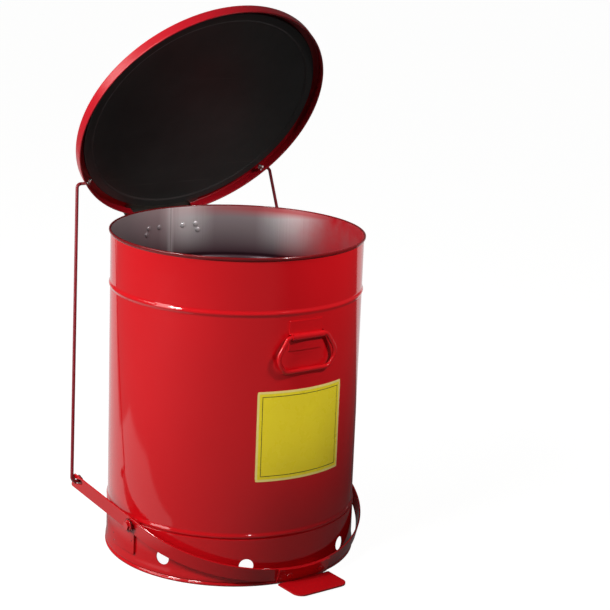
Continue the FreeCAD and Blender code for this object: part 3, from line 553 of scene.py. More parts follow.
def bead_bump(z):
    """How far a rolled bead stands out at a height, with soft shoulders."""
    out = 0.0
    for at in BEADS:
        off = abs(z - at) / (1.5 * BEAD_HALF)
        if off < 1:
            out = max(out, BEAD_PROUD * (0.5 + 0.5 * math.cos(math.pi * off))**1.4)
    return out


def wall_run(radius, low, high):
    """Heights up a wall, close together over the beads."""
    heights = {low, high}
    steps = 12
    for i in range(1, steps):
        heights.add(low + (high - low) * i / steps)
    for at in BEADS:
        for i in range(-10, 11):
            heights.add(at + i / 10 * 1.5 * BEAD_HALF)
    return [(radius + bead_bump(z), z) for z in sorted(h for h in heights if low <= h <= high)]


def can_shell():
    """The rolled wall with its two beads, lap seam and curled rim."""
    out, inn = BODY_R, BODY_R - GAUGE
    roll = (CURL_R - inn) / 2
    curl_z = RIM_Z - roll
    # the rim is rolled outward into a small round curl that closes against the wall
    outside = wall_run(out, SHELL_FOOT, RIM_Z - 7.4 * MM)
    curl = turned_arc((inn + roll, curl_z - 1.2 * MM), roll, -70, 0, 6)[:-1]
    curl += turned_arc((inn + roll, curl_z), roll, 0, 180, 16)
    inside = list(reversed(wall_run(inn, SHELL_FOOT, curl_z - 1.5 * MM)))
    section = outside + curl + inside
    steps = 288
    angles = sorted(full_turn(steps) + [SEAM - 0.12, SEAM - 0.02, SEAM + 0.02, SEAM + 3.2])
    bm = lathe(section, angles)
    # painted shade and painted reflection: the curl's top and outer face take the darker enamel, for the dark
    # lid above it and the light it lacks
    curl_low = RIM_Z - 6.5 * MM
    for face in bm.faces:
        centre = face.calc_center_median()
        radial = math.hypot(centre.x, centre.y)
        outward = radial > out - 0.5 * GAUGE + bead_bump(centre.z)
        if centre.z > curl_z or outward and centre.z > curl_low:
            face.material_index = 2
        else:
            face.material_index = 0 if outward else 1
    # lap seam: the sheet's inner end lies over the outer end for some millimetres
    lap, lap_turn = 0.7 * MM, 3.2
    for vert in bm.verts:
        radial = math.hypot(vert.co.x, vert.co.y)
        turn = math.degrees(math.atan2(vert.co.y, vert.co.x)) - SEAM
        if 0 < turn < lap_turn and radial < out + 1e-6 and vert.co.z < curl_z - 1 * MM:
            inner = radial < out - 0.5 * GAUGE + bead_bump(vert.co.z)
            if inner:
                share = (radial - lap * (1 - turn / lap_turn)**0.5) / radial
                vert.co.x *= share
                vert.co.y *= share
    return piece("can_wall", bm, [RED, STEEL, DARK_RED_AND_PAINTED_SHADE], "can", ["can_shell"])


def base_skirt():
    """The skirt that lifts the can off the floor: flared to a rolled foot, with a ring of round vents."""
    inn = SKIRT_R - 1.5 * MM
    top_z = SKIRT_TOP + 2.6 * MM
    roll, groove_z, flare_low, flare_high = 2.9 * MM, 6.6 * MM, 9.0 * MM, 25.0 * MM
    steps = 10
    flare = []
    for t in range(steps + 1):
        share = t / steps
        reach = (FOOT_R - 0.6 * MM - SKIRT_R) * (0.5 + 0.5 * math.cos(math.pi * share))
        flare.append((SKIRT_R + reach, flare_low + (flare_high - flare_low) * share))
    outside = turned_arc((FOOT_R - roll, roll), roll, -90, 60, 14)
    outside += [(FOOT_R - 2.3 * MM, groove_z), (FOOT_R - 1.5 * MM, groove_z + 1.0 * MM)] + flare
    outside += even((SKIRT_R, flare_high + 4 * MM), (SKIRT_R, top_z - 0.5 * MM), 14)
    top = [(SKIRT_R, top_z - 0.5 * MM), (SKIRT_R - 0.5 * MM, top_z), (inn + 0.3 * MM, top_z)]
    inside = [(inn, top_z - 0.3 * MM)] + even((inn, top_z - 4 * MM), (inn, flare_high + 2 * MM), 13)
    inside += [(r - 1.5 * MM, z) for r, z in reversed(flare)]
    inside += [(FOOT_R - roll - 2.0 * MM, 6 * MM), (FOOT_R - 2 * roll, 3 * MM)]
    inside.append((FOOT_R - roll - 1.4 * MM, 0.5 * MM))
    bm = lathe(outside + top + inside, full_turn(360))
    height, radius = 38.3 * MM, 12.8 * MM
    vents = []
    for turn in VENT_ANGLES:
        way = Vector((math.sin(math.radians(turn)), -math.cos(math.radians(turn)), 0))
        vents.append(round_tool(way * SKIRT_R + Vector((0, 0, height)), way, radius, 20 * MM, 64))
    bm = carved(bm, merged(vents))
    item = piece("vented_skirt", bm, [RED], "can", ["base_skirt"], 38.0)
    return softened(item, 0.35 * MM, 2, 45.0)


def bottom_pan():
    """The raised floor of the can, with its edge turned down."""
    low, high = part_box("bottom_pan")
    out, corner = high.x, 6 * MM
    inner_corner = corner - GAUGE
    section = even((0, high.z), (out - corner, high.z), 8)
    section += turned_arc((out - corner, high.z - corner), corner, 90, 0, 8)
    section += [(out, low.z), (out - GAUGE, low.z)]
    section += turned_arc((out - corner, high.z - corner), inner_corner, 0, 90, 8)
    section += even((out - corner - 1e-4, high.z - GAUGE), (0, high.z - GAUGE), 8)[1:]
    section.append((0, high.z - GAUGE))
    # a shallow stiffening ring pressed into the floor
    ring, wide, depth = 150 * MM, 9 * MM, 1.6 * MM
    bm = lathe(section, full_turn(192))
    for vert in bm.verts:
        off = abs(math.hypot(vert.co.x, vert.co.y) - ring) / wide
        if off < 1:
            vert.co.z -= depth * (0.5 + 0.5 * math.cos(math.pi * off))
    return piece("raised_bottom", bm, [DULL], "can", ["bottom_pan"])


def label():
    """A thin curved panel on the wall, with rounded corners."""
    low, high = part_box("label_panel")
    half = 22.5
    film, clear, round_r = 0.18 * MM, 0.06 * MM, 3 * MM
    steps = 72
    inner, outer = BODY_R + clear, BODY_R + clear + film
    section = even((outer, low.z), (outer, high.z), 24) + [(outer, high.z), (inner, high.z), (inner, low.z)]
    angles = [-90 - half + 2 * half * i / steps for i in range(steps + 1)]
    bm = lathe(section, angles, closed_turn=False)
    width = math.radians(half) * BODY_R
    # rounded corners: points beyond the corner's arc slide onto it
    for vert in bm.verts:
        turn = math.atan2(vert.co.x, -vert.co.y)
        side = abs(turn) * BODY_R - (width - round_r)
        rise = max(vert.co.z - (high.z - round_r), (low.z + round_r) - vert.co.z)
        over = math.hypot(max(side, 0), max(rise, 0))
        if side > 0 and rise > 0 and over > round_r:
            share = round_r / over
            turn = math.copysign((width - round_r + side * share) / BODY_R, turn)
            radial = math.hypot(vert.co.x, vert.co.y)
            top = vert.co.z > (low.z + high.z) / 2
            edge = high.z - round_r if top else low.z + round_r
            vert.co.x = radial * math.sin(turn)
            vert.co.y = -radial * math.cos(turn)
            vert.co.z = edge + (vert.co.z - edge) * share
    bmesh.ops.rotate(bm, verts=bm.verts, cent=(0, 0, 0), matrix=Matrix.Rotation(LABEL_TURN, 3, "Z"))
    material = printed_label(low.z, high.z, width)
    return piece("front_label", bm, [material], "can", ["label_panel"], 60.0)


def dome(centre, way, radius, rise, around=24, rings=6):
    """A low domed rivet head standing on a surface."""
    bm = bmesh.new()
    u = way.orthogonal().normalized()
    v = way.cross(u)
    tiers = []
    for j in range(rings):
        a = math.pi / 2 * j / rings
        reach, up = radius * math.cos(a)**0.8, rise * math.sin(a)
        tiers.append([bm.verts.new(centre + way * up + (u * math.cos(t) + v * math.sin(t)) * reach)
                      for t in (2 * math.pi * i / around for i in range(around))])
    crown = bm.verts.new(centre + way * rise)
    skin(bm, tiers, capped=False)
    for i in range(around):
        bm.faces.new((tiers[-1][i], tiers[-1][(i + 1) % around], crown))
    bm.faces.new(list(reversed(tiers[0])))
    return bm


def hinge_rivets():
    """Rivet heads that hold the hinge, inside and outside the wall."""
    heads = []
    for x, z in ((26, 551), (52, 552), (57, 540.5)):
        for _, side in SIDES:
            place = Vector((side * x * MM, math.sqrt(BODY_R**2 - (x * MM)**2), z * MM))
            way = Vector((place.x, place.y, 0)).normalized()
            heads.append(dome(place - way * (GAUGE + 0.02 * MM), -way, 5.2 * MM, 2.6 * MM))
            heads.append(dome(place + way * 1.52 * MM, way, 4.2 * MM, 1.5 * MM))
    return piece("saddle_rivets", merged(heads), [STEEL], "can", ["hinge_rivets"], 50.0)


# ---------------------------------------------------------------------------------------------
# Lid
# ---------------------------------------------------------------------------------------------


def swung(bm):
    """Swings lid pieces, modelled shut, open about the hinge."""
    bmesh.ops.transform(bm, matrix=OPENED, verts=bm.verts)
    return bm


def lid_shell():
    """The lid pan: a slightly raised panel and a hemmed flange, cut away at the hinge."""
    out, inn = LID_R, LID_R - GAUGE
    top, under = LID_TOP, LID_TOP - GAUGE
    corner, inner_corner = 4 * MM, 3 * MM
    roll, rise = 1.5 * MM, 2.5 * MM
    panel, slope = 196 * MM, 6 * MM
    steps = 8
    raised = [(panel + slope * t / steps, rise * (0.5 + 0.5 * math.cos(math.pi * t / steps)))
              for t in range(steps + 1)]
    section = even((0, top + rise), (panel, top + rise), 8)
    section += [(r, top + lift) for r, lift in raised]
    section += even((panel + slope + 2 * MM, top), (out - corner, top), 4)
    section += turned_arc((out - corner, top - corner), corner, 90, 0, 8)
    section += even((out, top - corner - 1 * MM), (out, LID_EDGE + roll + 1 * MM), 3)
    section += turned_arc((out - roll, LID_EDGE + roll), roll, 0, -180, 12)
    section += [(out - 2 * roll, LID_EDGE + 5 * MM), (inn, LID_EDGE + 5.3 * MM)]
    section += [(inn, LID_EDGE + 12 * MM)]
    section += turned_arc((out - corner, top - corner), inner_corner, 0, 90, 6)
    section += [(r, under + lift) for r, lift in reversed(raised)]
    section += even((panel - 1 * MM, under + rise), (0, under + rise), 6) + [(0, under + rise)]
    bm = lathe(section, full_turn(288))
    # the flange is cut away behind the hinge leaf
    notch_half, notch_in, notch_out, low, high = 66 * MM, 241 * MM, 261 * MM, 566 * MM, 606 * MM
    turn = math.degrees(math.asin(notch_half / LID_R))
    block = [(notch_in, low), (notch_out, low), (notch_out, high), (notch_in, high)]
    notch = lathe(block, [90 - turn + 2 * turn * i / 40 for i in range(41)], closed_turn=False)
    bm = carved(bm, notch)
    # a hole on each side of the flange takes the rod's hook
    hole_x, hole_y, hole_z, hole_r, reach = 194.5 * MM, 149 * MM, 585 * MM, 4.0 * MM, 12 * MM
    holes = [round_tool(Vector((side * hole_x, hole_y, hole_z)), Vector((1, 0, 0)), hole_r, reach)
             for _, side in SIDES]
    bm = carved(bm, merged(holes))
    # painted shade: the lid pan takes the darker copy of the red enamel
    item = piece("lid_pan", swung(bm), [LID_RED_PAINTED_SHADE], "lid", ["lid_shell"], 38.0)
    return softened(item, 0.3 * MM, 2, 45.0)


def lid_liner():
    """The inner pan: a dished black disc with a pressed ring near its turned-up edge."""
    out, low, high = LINER_R, 588.5 * MM, 593.4 * MM
    gauge, edge, floor_lift = 1.2 * MM, 1.6 * MM, 2.0 * MM
    ring, step = out - 14 * MM, 2.5 * MM
    lower = [(0, low + floor_lift)]
    lower += even((20 * MM, low + floor_lift), (ring - 2 * step, low + floor_lift), 8)
    steps = 8
    for t in range(steps + 1):
        share = 0.5 - 0.5 * math.cos(math.pi * t / steps)
        lower.append((ring - 2 * step + 2 * step * t / steps, low + floor_lift * (1 - share)))
    lower += even((ring + 1 * MM, low), (out - edge, low), 3)
    lower += turned_arc((out - edge, low + edge), edge, -90, 0, 6)
    section = lower + [(out, high), (out - gauge, high)]
    section += [(out - gauge, low + gauge + 0.6 * MM), (out - gauge - 0.8 * MM, low + gauge)]
    section += [(ring + 0.5 * gauge, low + gauge), (ring - 2 * step, low + floor_lift + gauge)]
    section.append((0, low + floor_lift + gauge))
    bm = lathe(section, full_turn(240))
    return piece("lid_inner_pan", swung(bm), [BLACK], "lid", ["lid_liner"], 50.0)


def lid_rivets():
    """Rivets through the lid pan and its hinge leaf."""
    heads = []
    top, under = LID_TOP + 0.02 * MM, 593.4 * MM
    for x in (-52, -18, 18, 52):
        heads.append(dome(Vector((x * MM, 214 * MM, top)), Vector((0, 0, 1)), 4.2 * MM, 1.4 * MM))
        heads.append(dome(Vector((x * MM, 214 * MM, under)), Vector((0, 0, -1)), 4.2 * MM, 1.0 * MM))
    return piece("leaf_rivets", swung(merged(heads)), [RED], "lid", ["lid_rivets"], 50.0)


# ---------------------------------------------------------------------------------------------
# Lifting rods
# ---------------------------------------------------------------------------------------------


def lift_rod(name, side):
    """One bent bar: bare hooked end through the lid's flange, enamelled shaft, foot through the lever."""
    rise = math.radians(63.0)
    tip_way = Vector((0, -math.cos(rise), math.sin(rise)))
    inner = HOOK + Vector((side * HOOK_INNER_X, 0, 0))
    points = [
        inner + tip_way * 9 * MM,
        inner,
        HOOK + Vector((side * ROD_TOP_X, 0, 0)),
        TAIL + Vector((side * ROD_FOOT_X, 0, 0)),
        TAIL + Vector((side * FOOT_INNER_X, 0, 0)),
    ]
    path = bent_path(points, [0, 5 * MM, 8 * MM, 8 * MM, 0])
    bm = rod(path, ROD_R)
    bare_end = 203 * MM
    for face in bm.faces:
        centre = face.calc_center_median()
        face.material_index = 1 if centre.z > TAIL.z + 100 * MM and abs(centre.x) < bare_end else 0
    stands_for = [f"lift_rod_{name}"]
    return piece(f"lift_rod_bar_{name}", bm, [ROD_RED, ZINC], f"rod_{name}", stands_for)


def collar(inner, outer, start, end, centre, chamfer):
    """A flat ring or sleeve along X with chamfered edges."""
    low, high = min(start, end), max(start, end)
    section = [(inner, low), (outer - chamfer, low), (outer, low + chamfer), (outer, high - chamfer),
               (outer - chamfer, high), (inner, high)]
    bm = lathe(section, full_turn(40))
    lay = Matrix.Translation(centre) @ Matrix.Rotation(math.radians(90), 4, "Y")
    bmesh.ops.transform(bm, matrix=lay, verts=bm.verts)
    return bm


def rod_fasteners(name, side):
    """The push cap and flat washer on the rod's foot."""
    start = FOOT_INNER_X - 1 * MM
    cap = collar(ROD_R, 6 * MM, side * start, side * (start + 4 * MM), TAIL, 0.8 * MM)
    piece(f"rod_push_cap_{name}", cap, [DARK_RED_AND_PAINTED_SHADE], f"rod_{name}", [f"rod_cap_{name}"], 40.0)
    # painted shade: the washer takes the darker enamel so that it reads as the shadow seen through the
    # lever's slot
    at = start + 4.05 * MM
    washer = collar(ROD_R, 10.5 * MM, side * at, side * (at + 1 * MM), TAIL, 0.2 * MM)
    piece(f"rod_flat_washer_{name}", washer, [DARK_RED_AND_PAINTED_SHADE], f"rod_{name}", [f"rod_washer_{name}"], 40.0)


# ---------------------------------------------------------------------------------------------
# Foot lever
# ---------------------------------------------------------------------------------------------


def bow():
    """How far behind the pivot line the bow's centre lies, and the bow's middle radius."""
    slope = math.tan(SPLAY)
    stretch = math.hypot(1, slope)
    back = (stretch * LEVER_REACH - LEVER_HALF) / (stretch - slope)
    return back, LEVER_REACH - back


def slot_tool(side, across):
    """A round-ended bar along X that cuts the tail slot on one side."""
    ends = [Vector((side * across, ARM.length + along, up)) for along, up in SLOT_ENDS]
    way = (ends[1] - ends[0]).normalized()
    lift = Vector((1, 0, 0)).cross(way) * SLOT_R
    half_steps = 16
    rim = []
    for centre, first in ((ends[0], 90), (ends[1], -90)):
        for i in range(half_steps + 1):
            a = math.radians(first + 180 * i / half_steps)
            rim.append(centre + way * SLOT_R * math.cos(a) + lift * math.sin(a))
    bm = bmesh.new()
    near = [bm.verts.new(v - Vector((STRAP_HALF, 0, 0))) for v in rim]
    far = [bm.verts.new(v + Vector((STRAP_HALF, 0, 0))) for v in rim]
    skin(bm, [near, far])
    return bm


def yoke_strap():
    """A flat bar on edge, bent round the front of the can, with straight splayed arms."""
    back, middle = bow()
    arm = ARM.length + TAIL_OVER
    half_bow = math.radians(90) - SPLAY
    touch = Vector((middle * math.cos(SPLAY), -back - middle * math.sin(SPLAY), 0))
    run = (arm - touch.y) / math.cos(SPLAY)
    arm_steps, bow_steps, tail_r, edge = 30, 96, 3.5 * MM, 0.5 * MM
    crowding = 2.2
    way = Vector((math.sin(SPLAY), math.cos(SPLAY), 0))
    path = []
    for i in range(arm_steps + 1):
        short = run * (i / arm_steps)**crowding
        path.append((touch + way * (run - short), way * -1, short))
    arm_path = list(path)
    for i in range(1, bow_steps):
        turn = -SPLAY - 2 * half_bow * i / bow_steps
        spot = Vector((middle * math.cos(turn), -back + middle * math.sin(turn), 0))
        path.append((spot, Vector((math.sin(turn), -math.cos(turn), 0)), run))
    for spot, heading, short in reversed(arm_path):
        path.append((Vector((-spot.x, spot.y, 0)), Vector((heading.x, -heading.y, 0)), short))
    bm = bmesh.new()
    rings = []
    for spot, heading, from_end in path:
        inside_corner = max(tail_r - from_end, 0)
        half = STRAP_HALF - tail_r + math.sqrt(tail_r**2 - inside_corner**2)
        out = Vector((heading.y, -heading.x, 0))
        thick = STRAP / 2
        corners = [(thick, -half + edge), (thick, half - edge), (thick - edge, half),
                   (-thick + edge, half), (-thick, half - edge), (-thick, -half + edge),
                   (-thick + edge, -half), (thick - edge, -half)]
        rings.append([bm.verts.new(spot + out * a + Vector((0, 0, b))) for a, b in corners])
    skin(bm, rings)
    tail_x = LEVER_HALF + ARM.length * math.tan(SPLAY)
    bm = carved(bm, merged([slot_tool(side, tail_x) for _, side in SIDES]))
    bmesh.ops.transform(bm, matrix=LEVER, verts=bm.verts)
    return piece("foot_yoke", bm, [RED], "lever", ["yoke_strap"], 40.0)


def pedal():
    """The tread plate with rounded corners, joined to a curved flange that is riveted to the strap."""
    low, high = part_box("pedal_plate")
    back, middle = bow()
    half, corner = high.x, 18 * MM
    front, rear = -low.y, 236 * MM
    inner, thick = middle + STRAP / 2 + 0.05 * MM, STRAP
    outline = [(-half, -rear), (-half, -front + corner)]
    outline += [(-half + corner - corner * math.cos(a), -front + corner - corner * math.sin(a))
                for a in (math.radians(9 * i) for i in range(1, 11))]
    outline += [(-x, y) for x, y in reversed(outline)]
    tread = plate(outline, PEDAL_UNDER, PEDAL_UNDER + thick)
    flange_turn = math.degrees(math.asin(half / (inner + thick)))
    foot = -STRAP_HALF - FLANGE_DROP
    section = [(inner, foot), (inner + thick, foot), (inner + thick, STRAP_HALF), (inner, STRAP_HALF)]
    turns = [-90 - flange_turn + 2 * flange_turn * i / 24 for i in range(25)]
    flange = lathe(section, turns, closed_turn=False)
    bmesh.ops.translate(flange, verts=flange.verts, vec=(0, -back, 0))
    bmesh.ops.transform(flange, matrix=LEVER, verts=flange.verts)
    bm = carved(tread, flange, "UNION")
    item = piece("tread_plate", bm, [RED], "lever", ["pedal_plate"], 30.0)
    return softened(item, 0.5 * MM, 3, 35.0)


def pedal_rivets():
    """Two rivets through the strap and the flange of the tread plate."""
    back, middle = bow()
    heads = []
    for _, side in SIDES:
        x = side * 32 * MM
        spot = Vector((x, -back - math.sqrt(middle**2 - x * x), 0))
        way = Vector((x, spot.y + back, 0)).normalized()
        heads.append(dome(spot + way * (1.5 * STRAP + 0.06 * MM), way, 5.5 * MM, 2.2 * MM))
        heads.append(dome(spot - way * 0.5 * STRAP, -way, 5.5 * MM, 2.2 * MM))
    bm = merged(heads)
    bmesh.ops.transform(bm, matrix=LEVER, verts=bm.verts)
    return piece("tread_rivets", bm, [RED], "lever", ["pedal_rivets"], 50.0)


def pivot_pad(name, side):
    """A pad welded to the skirt, its front edge turned down onto it, with a boss for the bolt."""
    inner, outer, low, high = SKIRT_R + 0.05 * MM, SKIRT_R + 2.4 * MM, 26 * MM, 82 * MM
    corner, bevel = 5 * MM, 0.6 * MM
    # degrees round the can from the front: where the pad starts, and how far it runs
    front, sweep, steps = 81.0, 27.0, 60
    lip, lip_width = 1.6 * MM, 4.5 * MM
    bm = bmesh.new()
    rings = []
    width = math.radians(sweep) * SKIRT_R
    for i in range(steps + 1):
        along = width * (0.5 - 0.5 * math.cos(math.pi * i / steps))
        short = max(corner - along, corner - (width - along), 0)
        trim = corner - math.sqrt(max(corner**2 - short**2, 0))
        turn = math.radians(front) + along / SKIRT_R
        way = Vector((side * math.sin(turn), -math.cos(turn), 0))
        face_r = outer + lip * min(max((lip_width - along) / bevel, 0), 1)
        column = [(inner, low + trim), (face_r - bevel, low + trim), (face_r, low + trim + bevel),
                  (face_r, high - trim - bevel), (face_r - bevel, high - trim), (inner, high - trim)]
        rings.append([bm.verts.new(way * r + Vector((0, 0, z))) for r, z in column])
    skin(bm, rings)
    across = Vector((side, 0, 0))
    boss_mid, boss_half, boss_r = 227.2 * MM, 5.0 * MM, 9 * MM
    boss = round_tool(PIVOT + across * boss_mid, across, boss_r, boss_half, 40)
    # small low domes mark the spot welds, as (degrees from the front, height)
    weld_r, weld_rise = 1.5 * MM, 0.5 * MM
    welds = []
    for turn, height in ((98.8, 44.4), (98.8, 31.0), (83.0, 50.2)):
        a = math.radians(turn)
        way = Vector((side * math.sin(a), -math.cos(a), 0))
        centre = way * (outer - 0.05 * MM) + Vector((0, 0, height * MM))
        welds.append(dome(centre, way, weld_r, weld_rise, 12, 3))
    for weld in welds:
        for face in weld.faces:
            face.material_index = 1
    whole = merged([bm, boss] + welds)
    stands_for = [f"pivot_bracket_{name}"]
    return piece(f"pivot_pad_{name}", whole, [RED, DARK_RED_AND_PAINTED_SHADE], "can", stands_for, 35.0)


def pivot_fasteners(name, side):
    """A toothed washer and a flanged hex bolt that the lever turns on."""
    across = Vector((side, 0, 0))
    lay = Matrix.Translation(PIVOT) @ across.to_track_quat("Z", "Y").to_matrix().to_4x4()
    teeth, tooth_in, tooth_out = 12, 10.4 * MM, 12.8 * MM
    outline = []
    for i in range(4 * teeth):
        reach = tooth_out if i % 4 < 2 else tooth_in
        a = 2 * math.pi * (i + 0.5) / (4 * teeth)
        outline.append((reach * math.cos(a), reach * math.sin(a)))
    # the toothed washer takes the darker enamel, partly as painted shade round the bolt head
    washer = plate(outline, PIVOT_WASHER_IN, PIVOT_WASHER_IN + PIVOT_WASHER, lay)
    stands_for = [f"pivot_washer_{name}"]
    item = piece(f"pivot_toothed_washer_{name}", washer, [DARK_RED_AND_PAINTED_SHADE], "can", stands_for, 30.0)
    softened(item, 0.25 * MM, 1, 30.0)
    seat = PIVOT_WASHER_IN + PIVOT_WASHER + 0.05 * MM
    flange_r, flange_edge, flange_h = 10.0 * MM, 0.7 * MM, 1.6 * MM
    head_h, flats, head_turn = 5.6 * MM, 14.0 * MM, 12
    corner_r = flats / math.sqrt(3)
    section = [(0, seat), (flange_r, seat), (flange_r, seat + flange_edge),
               (corner_r, seat + flange_h), (0, seat + flange_h)]
    flange = lathe(section, full_turn(48))
    bmesh.ops.transform(flange, matrix=lay, verts=flange.verts)
    turns = [math.radians(60 * i + head_turn) for i in range(6)]
    hexagon = [(corner_r * math.cos(a), corner_r * math.sin(a)) for a in turns]
    head = plate(hexagon, seat + 0.5 * MM, seat + head_h, lay)
    stands_for = [f"pivot_bolt_{name}"]
    bolt = piece(f"pivot_hex_bolt_{name}", merged([flange, head]), [RED], "can", stands_for, 30.0)
    softened(bolt, 0.5 * MM, 2, 30.0)


# ---------------------------------------------------------------------------------------------
# Handle
# ---------------------------------------------------------------------------------------------


def handle_clip():
    """A curved plate on the can with a half-round channel over the handle's top bar."""
    low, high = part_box("handle_clip")
    half = 34 * MM
    channel_out, channel_in, blend_r = 5.7 * MM, 4.2 * MM, 2.0 * MM
    # section across the clip at its middle, in (distance out from the can, height)
    stand = -BAIL_Y - BODY_R
    plate_h = 2.2 * MM
    outer = [(plate_h, low.z - BAIL_Z)]
    foot = math.degrees(math.asin((stand - plate_h) / channel_out))
    outer += [(plate_h, -channel_out - blend_r - 3 * MM), (plate_h, -channel_out - blend_r)]
    outer += [(stand + channel_out * math.cos(a), channel_out * math.sin(a))
              for a in (math.radians(-90 - foot + (180 + 2 * foot) * i / 20) for i in range(21))]
    outer += [(plate_h, channel_out + blend_r), (plate_h, channel_out + blend_r + 3 * MM)]
    outer += [(plate_h, high.z - BAIL_Z)]
    clear = 0.1 * MM
    inner = [(clear, high.z - BAIL_Z), (clear, channel_in + 1.5 * MM), (clear, channel_in)]
    inner += [(stand + channel_in * math.cos(a), channel_in * math.sin(a))
              for a in (math.radians(90 - 180 * i / 16) for i in range(17))]
    inner += [(clear, -channel_in), (clear, -channel_in - 1.5 * MM), (clear, low.z - BAIL_Z)]
    section = outer + inner
    bm = bmesh.new()
    rings = []
    steps = 24
    for i in range(steps + 1):
        x = HANDLE_X - half + 2 * half * i / steps
        wall = math.sqrt(BODY_R**2 - x * x)
        column = []
        for out, up in section:
            on_channel = out > plate_h + 1e-6 or (abs(up) <= channel_in + 1e-6)
            # the channel is straight along X, and the plate follows the can
            base = BODY_R + out if on_channel and out > 2 * clear else wall + out
            column.append(bm.verts.new((x, -base, BAIL_Z + up)))
        rings.append(column)
    skin(bm, rings)
    item = piece("handle_saddle", bm, [RED], "can", ["handle_clip"], 35.0)
    return softened(item, 0.3 * MM, 2, 50.0)


def bail_handle():
    """A wire loop that hangs in the clip; its two ends meet inside."""
    gap, corner, wide, low = 0.3 * MM, (40, 449), (63, 414), (46, 389)
    half = [Vector((x * MM, BAIL_Y, z * MM)) for x, z in (corner, wide, low)]
    other = [Vector((-p.x, p.y, p.z)) for p in reversed(half)]
    points = [Vector((gap, BAIL_Y, BAIL_Z))] + half + other + [Vector((-gap, BAIL_Y, BAIL_Z))]
    radii = [0] + [r * MM for r in (9, 22, 15, 15, 22, 9)] + [0]
    bm = rod(bent_path(points, radii, 4.0), BAIL_R, 28)
    bmesh.ops.translate(bm, verts=bm.verts, vec=(HANDLE_X, 0, 0))
    return piece("drop_handle", bm, [RED], "handle", ["bail_handle"])


# ---------------------------------------------------------------------------------------------
# Build
# ---------------------------------------------------------------------------------------------

can_shell()
base_skirt()
bottom_pan()
label()
hinge_rivets()
lid_shell()
lid_liner()
lid_rivets()
for side_name, side_sign in SIDES:
    lift_rod(side_name, side_sign)
    rod_fasteners(side_name, side_sign)
    pivot_pad(side_name, side_sign)
    pivot_fasteners(side_name, side_sign)
yoke_strap()
pedal()
pedal_rivets()
handle_clip()
bail_handle()
# painted shade: the hinge parts take the darker copy of the dull steel
dressed("hinge_bracket", HINGE_STEEL_PAINTED_SHADE)
dressed("lid_hinge_leaf", HINGE_STEEL_PAINTED_SHADE)
dressed("hinge_pin", ZINC)


# ---------------------------------------------------------------------------------------------
# Floor, light and camera
# ---------------------------------------------------------------------------------------------


def lit_patch(finish, x, y):
    """Where the paper left of the can is lit: straight edges, seen as a sharp sheen low on the can."""
    slant = finish.math("ADD", finish.math("MULTIPLY", x, 0.776), finish.math("MULTIPLY", y, 0.63))
    front_edge = finish.math("SUBTRACT", y, finish.span(x, -0.1, 0.1, 0.0, 0.6))
    squared = finish.math("ADD", finish.math("MULTIPLY", x, x), finish.math("MULTIPLY", y, y))
    edges = [
        finish.span(front_edge, -0.13, -0.11, 0.0, 1.0),
        finish.span(x, -0.80, -0.74, 0.0, 1.0),
        finish.math("MAXIMUM", finish.span(y, 0.70, 0.74, 1.0, 0.0), finish.span(x, -0.50, -0.45, 0.0, 1.0)),
        # the can's own shade
        finish.span(finish.math("SQRT", squared), 0.29, 0.35, 0.0, 1.0),
    ]
    lit = finish.span(slant, -0.46, -0.44, 0.0, 1.0)
    for edge in edges:
        lit = finish.math("MULTIPLY", lit, edge)
    return lit


def floor():
    """White paper to the camera, which sends little light back up at the can apart from its lit patch."""
    half_size, lit_strength = 12.0, 0.75
    bm = bmesh.new()
    bmesh.ops.create_grid(bm, x_segments=8, y_segments=8, size=half_size)
    mesh = bpy.data.meshes.new("floor")
    bm.to_mesh(mesh)
    bm.free()
    item = placed("floor", mesh)
    finish = Finish("floor_paper", Roughness=0.9, Specular_IOR_Level=0.1)
    grain = finish.noise(900.0, 2.0)
    path = finish.node("ShaderNodeLightPath")
    seen, mirrored = path.outputs["Is Camera Ray"], path.outputs["Is Glossy Ray"]
    finish.set("Base Color", finish.blend(grain, rgb(0.14, 0.14, 0.14), rgb(0.16, 0.16, 0.16)))
    finish.set("Emission Color", finish.blend(grain, rgb(0.965, 0.965, 0.963), rgb(0.985, 0.985, 0.983)))
    x, y, _ = finish.axes()
    dim = finish.span(x, -0.2, 0.5, 0.15, 0.03)
    bright = finish.math("MULTIPLY", lit_patch(finish, x, y), lit_strength)
    reflected = finish.math("MULTIPLY", mirrored, finish.math("MAXIMUM", dim, bright))
    finish.set("Emission Strength", finish.math("ADD", seen, reflected))
    mesh.materials.append(finish.material)
    item.location.z = -0.2 * MM


def orbit(azimuth, elevation, distance, height=0.3):
    """A place round the can: azimuth in degrees from +X, elevation above a point on its axis."""
    a, e = math.radians(azimuth), math.radians(elevation)
    way = Vector((math.cos(a) * math.cos(e), math.sin(a) * math.cos(e), math.sin(e)))
    return way * distance + Vector((0, 0, height))


def aimed_light(name, kind, place, target, power):
    """A light at a place, turned to a target; power is in watts."""
    data = bpy.data.lights.new(name, kind)
    data.energy = power
    item = placed(name, data)
    item.location = place
    item.rotation_mode = "QUATERNION"
    item.rotation_quaternion = (Vector(target) - Vector(place)).to_track_quat("-Z", "Y")
    return data


def area_light(name, place, size, power):
    """A soft box aimed at the middle of the can, with its width and height in metres."""
    data = aimed_light(name, "AREA", place, (0, 0, 0.35), power)
    data.shape = "RECTANGLE"
    data.size, data.size_y = size


def spot_light(name, place, target, cone, power):
    """A soft-edged spot; the cone is its full angle in degrees."""
    data = aimed_light(name, "SPOT", place, target, power)
    data.spot_size = math.radians(cone)
    data.spot_blend = 1.0
    data.shadow_soft_size = 0.12


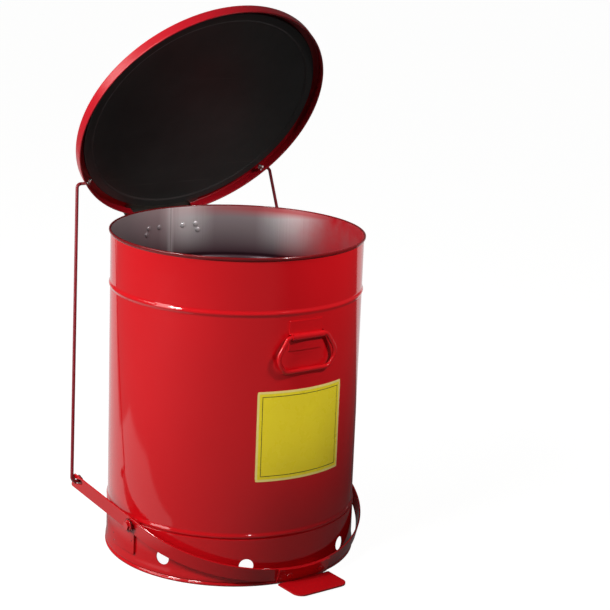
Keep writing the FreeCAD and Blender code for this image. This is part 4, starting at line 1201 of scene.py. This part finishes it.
def lights():
    """Soft boxes on the left and spots that lift the rim, the label and the inside."""
    area_light("key_low", orbit(172, 20, 2.5), (0.8, 1.4), 20)
    area_light("key_mid", orbit(180, 35, 2.4), (0.35, 0.4), 22)
    area_light("key_high", orbit(200, 45, 2.4), (0.35, 0.35), 16)
    area_light("side", orbit(150, 35, 2.4), (0.7, 0.8), 8)
    spot_light("front_right", orbit(285, 38, 2.6, 0.5), (0.14, -0.14, 0.58), 16, 230)
    spot_light("label", orbit(255, 25, 2.6, 0.2), (-0.01, -0.228, 0.27), 7, 95)
    area_light("front", orbit(290, 42, 2.4), (0.16, 0.16), 4)
    spot_light("inside_right", orbit(200, 50, 2.2, 0.5), (0.18, 0.12, 0.56), 6, 75)
    spot_light("inside_left", orbit(250, 48, 2.3, 0.5), (0.03, 0.22, 0.575), 5, 60)


def surround():
    """A dim even surround, a little brighter in reflections, and white where the camera sees past the can."""
    world = bpy.data.worlds.new("studio")
    bpy.context.scene.world = world
    world.use_nodes = True
    nodes, links = world.node_tree.nodes, world.node_tree.links
    path = nodes.new("ShaderNodeLightPath")
    shown = nodes["Background"]
    shown.inputs["Color"].default_value = rgb(1.0, 1.0, 1.0)
    shown.inputs["Strength"].default_value = 0.03
    for ray, colour, strength in (("Is Glossy Ray", rgb(0.95, 0.97, 1.0), 0.12),
                                  ("Is Camera Ray", rgb(0.99, 0.99, 0.99), 1.0)):
        other = nodes.new("ShaderNodeBackground")
        other.inputs["Color"].default_value = colour
        other.inputs["Strength"].default_value = strength
        mix = nodes.new("ShaderNodeMixShader")
        links.new(path.outputs[ray], mix.inputs[0])
        links.new(shown.outputs[0], mix.inputs[1])
        links.new(other.outputs[0], mix.inputs[2])
        shown = mix
    links.new(shown.outputs[0], nodes["World Output"].inputs["Surface"])


def camera():
    """A long lens at the front left, above the rim, turned a little off level."""
    data = bpy.data.cameras.new("camera")
    data.sensor_width, data.lens = 36.0, 102.36
    item = placed("camera", data)
    place = Vector((-1.71891, -2.50102, 1.23185))
    heading, tilt, roll = math.radians(-36.8620), math.radians(75.6048), math.radians(2.2969)
    turn = Matrix.Rotation(heading, 4, "Z") @ Matrix.Rotation(tilt, 4, "X") @ Matrix.Rotation(roll, 4, "Z")
    item.matrix_world = Matrix.Translation(place) @ turn
    bpy.context.scene.camera = item


floor()
lights()
surround()
camera()
bpy.context.scene.view_settings.view_transform = "Standard"
bpy.context.scene.view_settings.look = "None"
